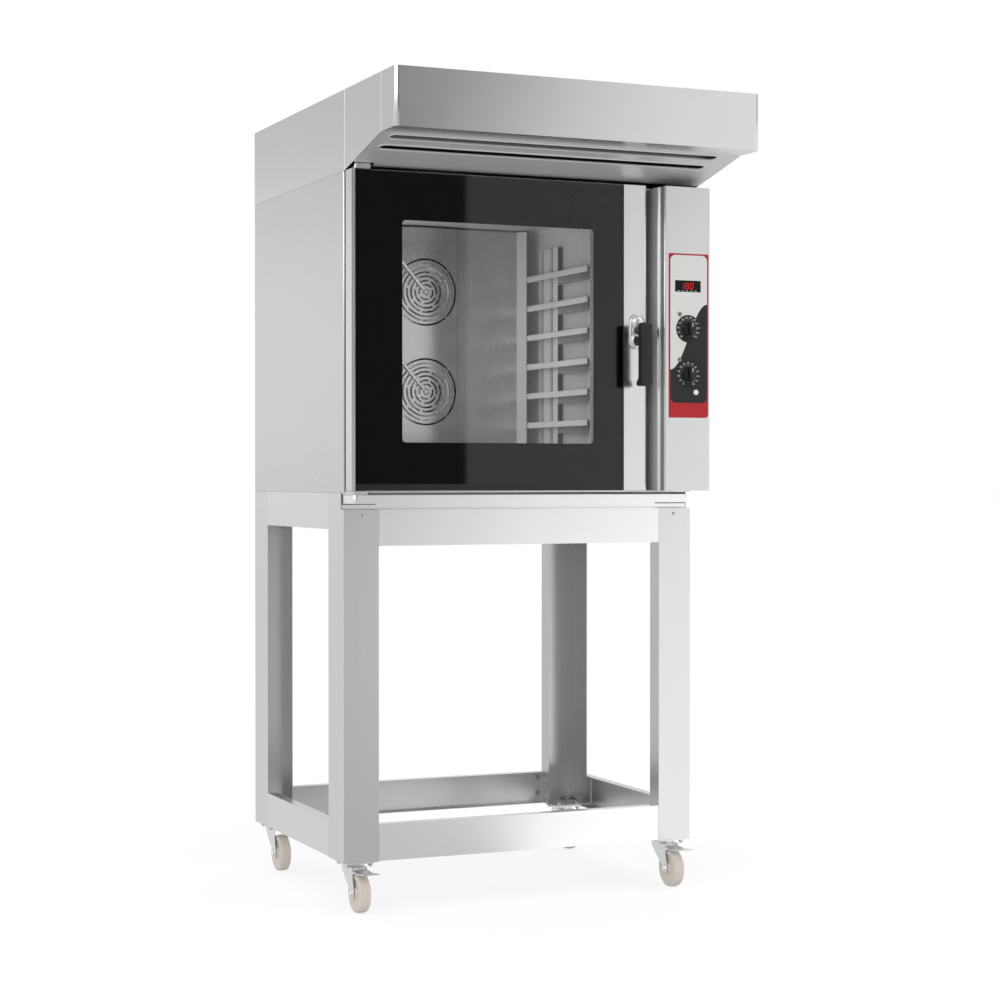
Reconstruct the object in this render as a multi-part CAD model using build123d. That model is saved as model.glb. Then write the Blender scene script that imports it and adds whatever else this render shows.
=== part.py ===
from build123d import *
import math
import os

# Driving dimensions, millimetres. While building, x runs from the left side,
# y from the front plane of the oven body and z from the floor.
WIDTH = 940
BODY_DEPTH = 716
HOOD_REACH = 348
CASTOR_HEIGHT = 121
STAND_HEIGHT = 891
OVEN_HEIGHT = 770
HOOD_HEIGHT = 193

# Sheet gauges and clearances
STAND_SHEET = 2.0
SHEET = 1.5
FIT = 0.2
MOVE = 0.3
PIN_RUN = 0.05
BEND = 2.5
PIN_SIDES = 10

# Levels and planes worked out from the driving sizes
STAND_TOP = CASTOR_HEIGHT + STAND_HEIGHT
OVEN_FLOOR = STAND_TOP + FIT
OVEN_TOP = STAND_TOP + OVEN_HEIGHT
HOOD_FLOOR = OVEN_TOP + FIT
HOOD_TOP = OVEN_TOP + HOOD_HEIGHT
OVERALL_DEPTH = BODY_DEPTH + HOOD_REACH

# Stand
LEG_WEB = 90
LEG_SIDE = 112
LEG_LIP = 48
RAIL_HEIGHT = 89
RAIL_LIP = 25
RAIL_LIFT = 2
TRAY_STEP = 40
TRAY_SET_BACK = 22
STRAP = 30
FOOT_PLATE = 4
FOOT_WIDTH = 98
FOOT_DEPTH = 96

# Castors
WHEEL_RADIUS = 47
WHEEL_WIDTH = 30
WHEEL_FACETS = 16
HUB_SIDES = 8
TREAD_CHAMFER = 5
DISH_RADIUS = 34
DISH_DEPTH = 3
HUB_RADIUS = 13
CASTOR_TRAIL = 36
AXLE_RADIUS = 5
CASTOR_PLATE = 3
PLATE_HALF_X = 38
PLATE_HALF_Y = 44
KING_PIN = 6
RACE_RADIUS = 24
FORK_SHEET = 3
FORK_GAP = 2
FORK_HALF = 37
FORK_BOSS = 11
PEDAL_REACH = 92
PEDAL_HALF = 20
PEDAL_PIN = 2.4

# Door
DOOR_WIDTH = 788
DOOR_THICK = 42
DOOR_GAP = 16
DOOR_BOTTOM = STAND_TOP + 5
DOOR_TOP = OVEN_TOP - 1
DOOR_BACK = -DOOR_GAP
DOOR_FRONT = DOOR_BACK - DOOR_THICK
STILE = 67
EDGE_STRIP = 9
GLASS = 4
HINGE_X = 29
HINGE_Y = (DOOR_FRONT + DOOR_BACK) / 2
HINGE_PIN = 6
WINDOW_LEFT = 130
WINDOW_RIGHT = 150
WINDOW_BELOW = 116
WINDOW_ABOVE = 116
WINDOW_RIM = 8
WINDOW_BEVEL = 8

# Cavity
CAVITY_CENTRE = 404
CAVITY_WIDTH = 660
RACK_SPACE = 40
CAVITY_LIFT = 75
CAVITY_DROP = 60
CAVITY_DEPTH = 590
CAVITY_SHEET = 1.2
CORNER = 12
FLANGE = 12
PAN_HEIGHT = 20
PAN_CORNER = 4
GASKET = 12

# Fan wall
BAFFLE_DEPTH = 500
BAFFLE_HALF = CAVITY_WIDTH / 2 - RACK_SPACE
WING_BEND = 18
WING_HALF = BAFFLE_HALF - WING_BEND
WING_FORWARD = 26
BAFFLE_RISE = 14
HUMP_HALF = 92
HUMP_SHOULDER = 6
FAN_PITCH = 266
FAN_MIDDLE = 399
GUARD_RINGS = 6
GUARD_INNER = 20
GUARD_PITCH = 13.5
GUARD_SLOT = 6.5
GUARD_BRIDGES = 2
GUARD_SIDES = 16
BRIDGE_WIDTH = 7
FAN_RADIUS = 84
FAN_BLADES = 10
SHAFT_RADIUS = 6
ELEMENT_RADIUS = 112
ELEMENT_TUBE = 8
ELEMENT_SIDES = 10
ELEMENT_STEP = 30
MOTOR_RADIUS = 52
MOTOR_LENGTH = 96
PIPE_RADIUS = 4
PIPE_END = 8
PIPE_REACH = 114
PIPE_RISE = 134

# Tray racks
TRAYS = 6
TRAY_PITCH = 79
FIRST_TRAY = 185
RACK_HALF = CAVITY_WIDTH / 2 - RACK_SPACE
RACK_LEDGE = 24
LEDGE_FRONT = 95
LEDGE_REAR = 468
LEDGE_DROP = 15
CHANNEL_FRONT = 326
CHANNEL_REAR = 448
CHANNEL_DEPTH = 12

# Control box
BOX_LEFT = 811
BOX_REACH = 104
BOX_BOTTOM = STAND_TOP + 4
BOX_TOP = OVEN_TOP - 5
OVERLAY_WIDTH = 112
OVERLAY_HEIGHT = 411
OVERLAY_LEFT = BOX_LEFT + 12
OVERLAY_BOTTOM = STAND_TOP + 187
OVERLAY_SHEET = 0.8
DIAL_X = OVERLAY_LEFT + 54.5
UPPER_DIAL = OVERLAY_BOTTOM + 223
LOWER_DIAL = OVERLAY_BOTTOM + 109
SKIRT_RADIUS = 21
SKIRT = 4
DRUM_RADIUS = 18
GRIP_REACH = 17
KNOB_LENGTH = 24
KNOB_SHAFT = 3
BUTTON_X = OVERLAY_LEFT + 76
BUTTON_Z = OVERLAY_BOTTOM + 64
BUTTON_RADIUS = 7
BUTTON_SIDES = 16

# Handle and latch
HANDLE_X = DOOR_WIDTH - 31
HANDLE_Z = STAND_TOP + 404
ROSE_WIDTH = 42
ROSE_ABOVE = 43
ROSE_BELOW = 47
GRIP_WIDTH = 26
GRIP_DEPTH = 25
GRIP_FRONT = -130
GRIP_UP = 17
GRIP_DOWN = 140
GRIP_EDGE = 4
TOE = 11
NECK_RADIUS = 8
NECK_END = DOOR_FRONT - FIT - 2
TONGUE = 28

# Drip tray
TRAY_FRONT = DOOR_FRONT - 4
TRAY_HEIGHT = 20.5
TRAY_LEFT = 4
TRAY_RIGHT = 899
TRAY_PAN_DEPTH = 260
TRAY_FLOOR = STAND_TOP - 25.5

# Hood
HOOD_BOX = 90
FASCIA_HEIGHT = 137
SLOPE_START = -9
LIP_Y = -47
SLOT_WIDTH = 30
SLOT_MARGIN = 27
SLOT_END = 9
COLLAR_RADIUS = 75
COLLAR_HEIGHT = 60
COLLAR_BACK = 156
HOOD_CORNER = 10


def block(x0, x1, y0, y1, z0, z1):
    """A plain box given by its faces."""
    centre = Pos((x0 + x1) / 2, (y0 + y1) / 2, (z0 + z1) / 2)
    return centre * Box(x1 - x0, y1 - y0, z1 - z0)


def rod(start, end, radius):
    """A round bar from one point to another."""
    direction = Vector(*end) - Vector(*start)
    plane = Plane(origin=start, z_dir=direction)
    return extrude(plane * Circle(radius), amount=direction.length)


def pin(start, end, radius, sides=PIN_SIDES):
    """A small round bar drawn with flats; the radius runs to its corners."""
    direction = Vector(*end) - Vector(*start)
    plane = Plane(origin=start, z_dir=direction)
    return extrude(plane * RegularPolygon(radius, sides), amount=direction.length)


def pin_hole(start, end, radius, sides=PIN_SIDES):
    """Hole for a turning pin; the radius runs to the middle of its flats."""
    return pin(start, end, radius / math.cos(math.pi / sides), sides)


def fold_line(points, bend):
    """Middle line of folded sheet; a bend of 0 leaves its folds sharp."""
    if bend == 0:
        return Polyline(*points)
    return FilletPolyline(*points, radius=bend)


def sheet_up(points, thickness, z0, z1, bend=BEND):
    """Folded sheet whose fold lines stand upright; points run along its middle."""
    return Pos(0, 0, z0) * extrude(trace(fold_line(points, bend), thickness), amount=z1 - z0)


def sheet_across(points, thickness, x0, x1, bend=BEND):
    """Folded sheet whose fold lines run left to right; points are (y, z)."""
    line = fold_line(points, bend)
    return extrude(side_face(x0) * trace(line, thickness), amount=x1 - x0)


def sheet_back(points, thickness, y0, y1, bend=BEND):
    """Folded sheet whose fold lines run front to back; points are (x, z)."""
    line = fold_line(points, bend)
    face = Plane(origin=(0, y1, 0), x_dir=(1, 0, 0), z_dir=(0, -1, 0)) * trace(line, thickness)
    return extrude(face, amount=y1 - y0)


def side_plate(points, x0, x1):
    """Flat plate across x with the outline given as (y, z) points."""
    outline = make_face(Polyline(*points, close=True))
    return extrude(side_face(x0) * outline, amount=x1 - x0)


def side_face(x):
    """Sketch plane across the object at x; sketch x is y and sketch y is z."""
    return Plane(origin=(x, 0, 0), x_dir=(0, 1, 0), z_dir=(1, 0, 0))


def front_face(y):
    """Sketch plane facing the viewer at y; sketch x is x and sketch y is z."""
    return Plane(origin=(0, y, 0), x_dir=(1, 0, 0), z_dir=(0, -1, 0))


def mirror_left_right(shape):
    return mirror(shape, about=Plane(origin=(WIDTH / 2, 0, 0), z_dir=(1, 0, 0)))


def mirror_front_back(shape):
    return mirror(shape, about=Plane(origin=(0, BODY_DEPTH / 2, 0), z_dir=(0, 1, 0)))


def save(name, shape):
    """Move a piece into the shared frame and write it."""
    shift = Pos(-WIDTH / 2, HOOD_REACH - OVERALL_DEPTH / 2, 0)
    export_step(shift * shape, f"parts/{name}.step")


# Stand


def leg_section(z0, z1):
    half = STAND_SHEET / 2
    points = [(half, LEG_SIDE), (half, half), (LEG_WEB - half, half), (LEG_WEB - half, LEG_LIP)]
    return sheet_up(points, STAND_SHEET, z0, z1, 0)


def foot_plate():
    """Plate welded across the leg's foot, reaching past the lip behind the rail."""
    low = CASTOR_HEIGHT
    top = low + FOOT_PLATE
    plate = block(STAND_SHEET / 2, FOOT_WIDTH, STAND_SHEET + 1, FOOT_DEPTH, low, top)
    free_corner = plate.edges().filter_by(Axis.Z).group_by(Axis.Y)[-1].sort_by(Axis.X)[-1]
    plate = chamfer(free_corner, 12)
    return plate - block(LEG_WEB - STAND_SHEET / 2, FOOT_WIDTH + 1, -1, LEG_LIP + 1, low - 1, top + 1)


def castor_centre():
    return LEG_WEB / 2, FOOT_DEPTH / 2 + 2


def front_leg():
    web_top = STAND_TOP - TRAY_STEP
    leg = leg_section(CASTOR_HEIGHT, STAND_TOP)
    leg -= block(-1, LEG_WEB + 1, -1, TRAY_SET_BACK, web_top, STAND_TOP + 1)
    leg -= block(STAND_SHEET + 1, LEG_WEB + 1, -1, LEG_SIDE + 1, web_top, STAND_TOP + 1)
    return leg + foot_plate()


def rear_leg():
    return mirror_front_back(leg_section(CASTOR_HEIGHT, STAND_TOP) + foot_plate())


def side_rail(z0):
    """Left rail: open towards the middle, with straps behind the legs."""
    half = STAND_SHEET / 2
    front_end = LEG_SIDE + FIT
    back_end = BODY_DEPTH - LEG_SIDE - FIT
    z1 = z0 + RAIL_HEIGHT
    points = [(RAIL_LIP, z0 + half), (half, z0 + half), (half, z1 - half), (RAIL_LIP, z1 - half)]
    rail = sheet_back(points, STAND_SHEET, front_end, back_end, 0)
    for end, away in ((front_end, -1), (back_end, 1)):
        low, high = sorted((end - away * STRAP, end + away * STRAP))
        strap = block(STAND_SHEET, 2 * STAND_SHEET, low, high, z0 + 8, z1 - 8)
        leg_low, leg_high = sorted((end, end + away * (STRAP + 1)))
        strap -= block(0, STAND_SHEET + FIT, leg_low, leg_high, z0, z1)
        rail += strap
    return rail


def cross_rail(z0):
    """Rear-style cross rail at the front plane, with an end tab against each leg."""
    half = STAND_SHEET / 2
    z1 = z0 + RAIL_HEIGHT
    points = [(RAIL_LIP, z0 + half), (half, z0 + half), (half, z1 - half), (RAIL_LIP, z1 - half)]
    left_end = LEG_WEB + FIT
    rail = sheet_across(points, STAND_SHEET, left_end, WIDTH - left_end, 0)
    return add_end_tabs(rail, z0, z1)


def add_end_tabs(rail, z0, z1):
    left_end = LEG_WEB + FIT
    tab = block(left_end, left_end + STAND_SHEET, STAND_SHEET / 2, LEG_LIP - 2, z0 + 1, z1 - 1)
    return rail + tab + mirror_left_right(tab)


def front_rail_floor():
    return STAND_TOP - TRAY_STEP - RAIL_HEIGHT + 1


def front_top_rail():
    """Front rail with the stepped ledge that carries the drip tray."""
    half = STAND_SHEET / 2
    z0 = front_rail_floor()
    ledge = STAND_TOP - TRAY_STEP
    shelf = TRAY_FLOOR - FIT
    back = TRAY_SET_BACK + half
    points = [
        (RAIL_LIP, z0 + half), (half, z0 + half), (half, ledge - half),
        (back, ledge - half), (back, shelf - half), (back + 20, shelf - half),
    ]
    left_end = LEG_WEB + FIT
    rail = sheet_across(points, STAND_SHEET, left_end, WIDTH - left_end, 0)
    rail = add_end_tabs(rail, z0, ledge - 3)
    wide = STAND_SHEET + FIT + 1
    rail += block(
        wide, WIDTH - wide, TRAY_SET_BACK, TRAY_SET_BACK + STAND_SHEET, ledge + FIT, shelf - BEND - 1
    )
    return rail


def four_corners(shape):
    right = mirror_left_right(shape)
    return [shape, right, mirror_front_back(shape), mirror_front_back(right)]


# Castors


RACE_TOP = CASTOR_HEIGHT - FIT - CASTOR_PLATE
FORK_TOP = RACE_TOP - 9
FORK_CROWN = FORK_TOP - 5


def castor_top_plate():
    """Top plate with its swivel race and the king pin that runs in the fork's crown."""
    cx, cy = castor_centre()
    top = CASTOR_HEIGHT - FIT
    plate = block(cx - PLATE_HALF_X, cx + PLATE_HALF_X, cy - PLATE_HALF_Y, cy + PLATE_HALF_Y, RACE_TOP, top)
    plate = chamfer(plate.edges().filter_by(Axis.Z), 6)
    race = pin((cx, cy, FORK_TOP + MOVE), (cx, cy, RACE_TOP), RACE_RADIUS, PIN_SIDES)
    return plate + race + rod((cx, cy, FORK_CROWN), (cx, cy, RACE_TOP), KING_PIN)


def blade_outline():
    """Side view of a fork leg as (y, z), swept back from the crown to the axle."""
    front_boss = -CASTOR_TRAIL - FORK_BOSS
    rear_boss = -CASTOR_TRAIL + FORK_BOSS
    tip = WHEEL_RADIUS - FORK_BOSS
    return make_face(Polyline(
        (front_boss, WHEEL_RADIUS - 4), (front_boss, WHEEL_RADIUS + 3), (-FORK_HALF, FORK_TOP - 22),
        (-FORK_HALF, FORK_TOP), (FORK_HALF, FORK_TOP), (FORK_HALF, FORK_TOP - 10), (12, FORK_TOP - 32),
        (rear_boss, WHEEL_RADIUS + 3), (rear_boss, WHEEL_RADIUS - 4),
        (rear_boss - 6, tip), (front_boss + 6, tip),
        close=True,
    ))


def fork_blade(x0):
    return extrude(side_face(x0) * blade_outline(), amount=FORK_SHEET)


def castor_fork():
    """Swivelling fork with its axle, about the origin of the swivel axis."""
    inner = WHEEL_WIDTH / 2 + FORK_GAP
    outer = inner + FORK_SHEET
    fork = fork_blade(inner) + fork_blade(-outer)
    fork += block(-inner - 1, inner + 1, -25, 25, FORK_CROWN, FORK_TOP)
    axle = (-CASTOR_TRAIL, WHEEL_RADIUS)
    fork += rod((-inner - 1, *axle), (inner + 1, *axle), AXLE_RADIUS)
    return fork - pin_hole((0, 0, FORK_CROWN - 1), (0, 0, FORK_TOP + 1), KING_PIN + PIN_RUN)


def pedal_pivot():
    return -FORK_HALF + 8, FORK_CROWN - 6


def wheel_disc(radius, x0, x1):
    """Disc on the axle line with a flat facet towards the floor."""
    sketch = Rot(0, 0, 180 / WHEEL_FACETS) * RegularPolygon(radius, WHEEL_FACETS, major_radius=False)
    plane = Plane(origin=(x0, -CASTOR_TRAIL, WHEEL_RADIUS), x_dir=(0, 1, 0), z_dir=(1, 0, 0))
    return extrude(plane * sketch, amount=x1 - x0)


def castor_wheel():
    """Moulded wheel: bevelled tread, dished sides and a hub a little wider than the tread."""
    half = WHEEL_WIDTH / 2
    tread = wheel_disc(WHEEL_RADIUS, -half, half)
    rims = tread.edges().group_by(Axis.X)
    wheel = chamfer(rims[0] + rims[-1], TREAD_CHAMFER)
    wheel -= wheel_disc(DISH_RADIUS, half - DISH_DEPTH, half + 1)
    wheel -= wheel_disc(DISH_RADIUS, -half - 1, -half + DISH_DEPTH)
    axis_low = (-half - 1, -CASTOR_TRAIL, WHEEL_RADIUS)
    axis_high = (half + 1, -CASTOR_TRAIL, WHEEL_RADIUS)
    wheel += pin(axis_low, axis_high, HUB_RADIUS, HUB_SIDES)
    return wheel - pin_hole(axis_low, axis_high, AXLE_RADIUS + PIN_RUN, HUB_SIDES)


def brake_pedal():
    """Foot brake: a bent plate on a cross pin, with a shoe just above the wheel."""
    y, z = pedal_pivot()
    inner = WHEEL_WIDTH / 2 + FORK_GAP
    narrow = inner - 2 * MOVE
    tip = y - PEDAL_REACH
    points = [(y + 5, z + 3.3), (y - 12, z + 3.3), (y - 40, z + 1), (tip, z + 7)]
    plate = sheet_across(points, 2.5, -PEDAL_HALF, PEDAL_HALF, 0)
    for side in (-1, 1):
        low, high = sorted((side * narrow, side * (PEDAL_HALF + 1)))
        plate -= block(low, high, y - 12, y + 10, z - 10, z + 20)
    plate += rod((-inner + MOVE, y, z), (inner - MOVE, y, z), PEDAL_PIN)
    return plate + block(-9, 9, y - 16, y - 8, z - 1, z + 3)


def castor_places():
    """Swivel axis of each castor."""
    cx, cy = castor_centre()
    return {
        "front_left": (cx, cy),
        "front_right": (WIDTH - cx, cy),
        "rear_left": (cx, BODY_DEPTH - cy),
        "rear_right": (WIDTH - cx, BODY_DEPTH - cy),
    }


# Oven body


def side_panel():
    half = SHEET / 2
    points = [(14, half), (half, half), (half, BODY_DEPTH - SHEET - FIT)]
    return sheet_up(points, SHEET, OVEN_FLOOR, OVEN_TOP)


def floor_pan(z0, z1, hollow_z0, hollow_z1):
    """Shallow pan inside the side panels; the hollow leaves its sheet and four walls."""
    inset = SHEET + FIT
    wall = inset + SHEET
    pan = block(inset, WIDTH - inset, inset, BODY_DEPTH - inset, z0, z1)
    pan = chamfer(pan.edges().filter_by(Axis.Z), PAN_CORNER)
    hollow = block(wall, WIDTH - wall, wall, BODY_DEPTH - wall, hollow_z0, hollow_z1)
    return pan - chamfer(hollow.edges().filter_by(Axis.Z), PAN_CORNER - SHEET / 2)


def base_panel():
    low = OVEN_FLOOR
    return floor_pan(low, low + PAN_HEIGHT, low + SHEET, low + PAN_HEIGHT + 1)


def top_panel():
    low = OVEN_TOP - PAN_HEIGHT
    return floor_pan(low, OVEN_TOP, low - 1, OVEN_TOP - SHEET)


def back_panel():
    """Rear sheet with one bank of cooling slots behind each fan motor."""
    panel = block(0, WIDTH, BODY_DEPTH - SHEET, BODY_DEPTH, OVEN_FLOOR, OVEN_TOP)
    for z in fan_heights():
        for i in range(6):
            low = z + 20 * (i - 2.5) - 4
            x0 = CAVITY_CENTRE - 55
            panel -= block(x0, x0 + 110, BODY_DEPTH - SHEET - 1, BODY_DEPTH + 1, low, low + 8)
    return panel


def cavity_edges():
    left = CAVITY_CENTRE - CAVITY_WIDTH / 2
    right = CAVITY_CENTRE + CAVITY_WIDTH / 2
    return left, right, STAND_TOP + CAVITY_LIFT, OVEN_TOP - CAVITY_DROP


def rounded_prism(x0, x1, z0, z1, radius, y_near, y_far):
    """Prism with a rounded-rectangle outline in the front view."""
    outline = Pos((x0 + x1) / 2, (z0 + z1) / 2) * RectangleRounded(x1 - x0, z1 - z0, radius)
    return extrude(front_face(y_far) * outline, amount=y_far - y_near)


def bevelled_prism(x0, x1, z0, z1, bevel, y_near, y_far):
    """Prism with its four corners cut off in the front view."""
    prism = block(x0, x1, y_near, y_far, z0, z1)
    return chamfer(prism.edges().filter_by(Axis.Y), bevel)


def front_frame():
    left, right, low, high = cavity_edges()
    edge = 14 + FIT
    inset = SHEET + FIT
    frame = block(edge, WIDTH - edge, 0, SHEET, OVEN_FLOOR, OVEN_TOP)
    frame -= rounded_prism(left, right, low, high, CORNER, -1, SHEET + 1)
    frame -= block(BOX_LEFT + 30, WIDTH - 30, -1, inset + 1, BOX_BOTTOM + 60, BOX_TOP - 60)
    return frame


def cavity_liner():
    """Welded oven chamber with a front flange and the fans' shaft holes."""
    left, right, low, high = cavity_edges()
    t = CAVITY_SHEET
    near = SHEET + FIT
    liner = bevelled_prism(left - t, right + t, low - t, high + t, CORNER / 2, near, CAVITY_DEPTH + t)
    reach = FLANGE
    liner += bevelled_prism(left - reach, right + reach, low - reach, high + reach, CORNER, near, near + t)
    liner -= rounded_prism(left, right, low, high, CORNER, near - 1, CAVITY_DEPTH)
    for z in fan_heights():
        hole = ((CAVITY_CENTRE, CAVITY_DEPTH - 1, z), (CAVITY_CENTRE, CAVITY_DEPTH + 3, z))
        liner -= pin_hole(*hole, 2 * SHAFT_RADIUS)
    return liner


def fan_heights():
    middle = STAND_TOP + FAN_MIDDLE
    return [middle - FAN_PITCH / 2, middle + FAN_PITCH / 2]


def ring_slots(z):
    """Concentric slots of one fan guard, broken by bridges that step from ring to ring."""
    slots = Sketch()
    for index in range(GUARD_RINGS):
        radius = GUARD_INNER + GUARD_PITCH * index
        outer = RegularPolygon(radius + GUARD_SLOT / 2, GUARD_SIDES)
        ring = outer - RegularPolygon(radius - GUARD_SLOT / 2, GUARD_SIDES)
        for bridge in range(GUARD_BRIDGES):
            angle = 360 / GUARD_BRIDGES * (bridge + (index % 2) / 2) + 20
            ring -= Rot(0, 0, angle) * Pos(radius, 0) * Rectangle(2 * GUARD_SLOT, BRIDGE_WIDTH)
        slots += ring
    return Pos(CAVITY_CENTRE, z) * slots


def fan_baffle():
    """Fan wall: a raised middle pressing with two slotted guards and wings bent forward."""
    _, _, low, high = cavity_edges()
    y = BAFFLE_DEPTH
    half = SHEET / 2
    shoulder = HUMP_HALF + HUMP_SHOULDER
    points = [
        (-BAFFLE_HALF, y - WING_FORWARD), (-WING_HALF, y), (-shoulder, y), (-HUMP_HALF, y - BAFFLE_RISE),
        (HUMP_HALF, y - BAFFLE_RISE), (shoulder, y), (WING_HALF, y), (BAFFLE_HALF, y - WING_FORWARD),
    ]
    points = [(CAVITY_CENTRE + x, py + half) for x, py in points]
    panel = sheet_up(points, SHEET, low + 6, high - 6, 0)
    for z in fan_heights():
        panel -= extrude(front_face(y) * ring_slots(z), amount=BAFFLE_RISE + 5)
    for side in (-1, 1):
        for z in (low + 40, high - 40):
            x = CAVITY_CENTRE + side * (WING_HALF - 30)
            panel += block(x - 5, x + 5, y + half, CAVITY_DEPTH - FIT, z - 5, z + 5)
    return panel


def fan_impeller(z):
    """Radial fan wheel with its shaft running back into the motor."""
    back = CAVITY_DEPTH - 22
    front = BAFFLE_DEPTH + 8
    wheel = extrude(front_face(back) * RegularPolygon(FAN_RADIUS, 2 * FAN_BLADES), amount=2)
    blade = Pos(FAN_RADIUS - 24, 0) * Rot(0, 0, 28) * Rectangle(44, 2)
    for i in range(FAN_BLADES):
        turned = Rot(0, 0, 360 / FAN_BLADES * i) * blade
        wheel += extrude(front_face(back - 1) * turned, amount=back - front - 1)
    wheel += pin((0, back + 4, 0), (0, back - 26, 0), 14, 6)
    wheel += rod((0, back - 4, 0), (0, CAVITY_DEPTH + 60, 0), SHAFT_RADIUS)
    return Pos(CAVITY_CENTRE, 0, z) * wheel


def fan_motor(z):
    """Flange motor seated on the cavity's rear wall."""
    near = CAVITY_DEPTH + CAVITY_SHEET + FIT
    far = near + MOTOR_LENGTH
    flange = block(-60, 60, near, near + 5, -60, 60)
    motor = chamfer(flange.edges().filter_by(Axis.Y), 18)
    motor += pin((0, near + 5, 0), (0, far, 0), MOTOR_RADIUS, 16)
    motor -= pin_hole((0, near - 1, 0), (0, CAVITY_DEPTH + 64, 0), SHAFT_RADIUS + PIN_RUN)
    return Pos(CAVITY_CENTRE, 0, z) * motor


def heating_element(z):
    """Two-turn ring heater with its leads through the rear wall."""
    near = BAFFLE_DEPTH + 22
    half = ELEMENT_TUBE / 2
    ring = RegularPolygon(ELEMENT_RADIUS + half, ELEMENT_SIDES)
    ring -= RegularPolygon(ELEMENT_RADIUS - half, ELEMENT_SIDES)
    shape = extrude(front_face(near + ELEMENT_TUBE) * ring, amount=ELEMENT_TUBE)
    shape += extrude(front_face(near + ELEMENT_STEP + ELEMENT_TUBE) * ring, amount=ELEMENT_TUBE)
    for x in (-ELEMENT_RADIUS, ELEMENT_RADIUS):
        shape += block(x - 3, x + 3, near + 1, CAVITY_DEPTH - FIT, -3, 3)
    return Pos(CAVITY_CENTRE, 0, z) * shape


def water_pipe(z):
    """Bent pipe from the fan wall's left wing to just in front of a fan's middle."""
    y = BAFFLE_DEPTH - BAFFLE_RISE - PIPE_RADIUS - 4
    near_fan = (CAVITY_CENTRE - PIPE_END, y, z + PIPE_END)
    x = near_fan[0] - PIPE_REACH
    top = near_fan[2] + PIPE_RISE
    path = Polyline(near_fan, (x, y, top), (x, BAFFLE_DEPTH - FIT, top))
    start = Plane(origin=path @ 0, z_dir=path % 0)
    return sweep(start * RegularPolygon(PIPE_RADIUS, 8), path=path, transition=Transition.RIGHT)


def tray_rack():
    """Left-hand rack: a front upright, a ribbed channel, ledges for the trays and wall pegs."""
    left, _, low, _ = cavity_edges()
    lip = CAVITY_CENTRE - RACK_HALF
    wall_side = lip - RACK_LEDGE
    top = STAND_TOP + FIRST_TRAY + TRAY_PITCH * (TRAYS - 1) + 70
    bottom = low + 40
    plate = SHEET + 0.5
    web = wall_side - CHANNEL_DEPTH
    rack = block(wall_side - plate, wall_side, LEDGE_FRONT, LEDGE_FRONT + 42, bottom, top)
    rack += block(web, web + plate, CHANNEL_FRONT, CHANNEL_REAR, bottom, top)
    for y in (CHANNEL_FRONT, (CHANNEL_FRONT + CHANNEL_REAR - plate) / 2, CHANNEL_REAR - plate):
        rack += block(web, wall_side, y, y + plate, bottom, top)
    for i in range(TRAYS):
        z = STAND_TOP + FIRST_TRAY + TRAY_PITCH * i
        rack += block(wall_side - plate / 2, lip, LEDGE_FRONT, LEDGE_REAR, z - SHEET / 2, z + SHEET / 2)
        rack += block(lip - SHEET, lip, LEDGE_FRONT, LEDGE_REAR, z - LEDGE_DROP, z)
    for z in (bottom + 40, top - 40):
        rack += block(left + FIT, wall_side - plate / 2, LEDGE_FRONT + 16, LEDGE_FRONT + 26, z - 5, z + 5)
        rack += block(left + FIT, web + plate / 2, CHANNEL_FRONT + 20, CHANNEL_FRONT + 30, z - 5, z + 5)
    return rack


def rack_right():
    return mirror(tray_rack(), about=Plane(origin=(CAVITY_CENTRE, 0, 0), z_dir=(1, 0, 0)))


def cavity_lamp():
    """Glass lamp cover on the left cavity wall."""
    left, _, _, high = cavity_edges()
    rim = block(left + FIT, left + 5, 190, 280, high - 64, high - 14)
    lens = block(left + 4, left + 14, 196, 274, high - 58, high - 20)
    return rim + chamfer(lens.edges().group_by(Axis.X)[-1], 4)


def door_gasket():
    left, right, low, high = cavity_edges()
    g = GASKET
    near = DOOR_BACK + MOVE
    ring = bevelled_prism(left - g, right + g, low - g, high + g, g, near, -FIT)
    return ring - rounded_prism(left + 1, right - 1, low + 1, high - 1, CORNER, near - 1, 1)


def latch_keeper():
    """Bent strike: a foot on the oven front and a lip the tongue turns behind."""
    lip_y = DOOR_BACK + 1.8
    z0, z1 = HANDLE_Z - 4, HANDLE_Z + 32
    riser = DOOR_WIDTH + 3
    points = [(riser - 19, lip_y), (riser, lip_y), (riser, -FIT - 1.25), (riser + 17, -FIT - 1.25)]
    return sheet_up(points, 2.5, z0, z1, 0)


def upper_hinge():
    """Bracket over the door's top corner with the upper pivot pin."""
    low = OVEN_TOP + FIT
    bracket = block(8, 50, DOOR_FRONT, 40, low, low + 15)
    bracket = chamfer(bracket.edges().filter_by(Axis.Z).group_by(Axis.Y)[0], 3)
    return bracket + rod((HINGE_X, HINGE_Y, low + 2), (HINGE_X, HINGE_Y, DOOR_TOP - 24), HINGE_PIN)


def lower_hinge():
    """Bracket under the door, let in below the oven's base."""
    top = DOOR_BOTTOM - 1
    under = STAND_TOP - FIT
    bracket = block(2.5, 44, DOOR_FRONT, 20, under - 4, top)
    bracket -= block(0, 50, -1.5, 25, under, top + 1)
    bracket = chamfer(bracket.edges().filter_by(Axis.Z).group_by(Axis.Y)[0], 3)
    return bracket + rod((HINGE_X, HINGE_Y, top - 2), (HINGE_X, HINGE_Y, DOOR_BOTTOM + 24), HINGE_PIN)


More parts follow.
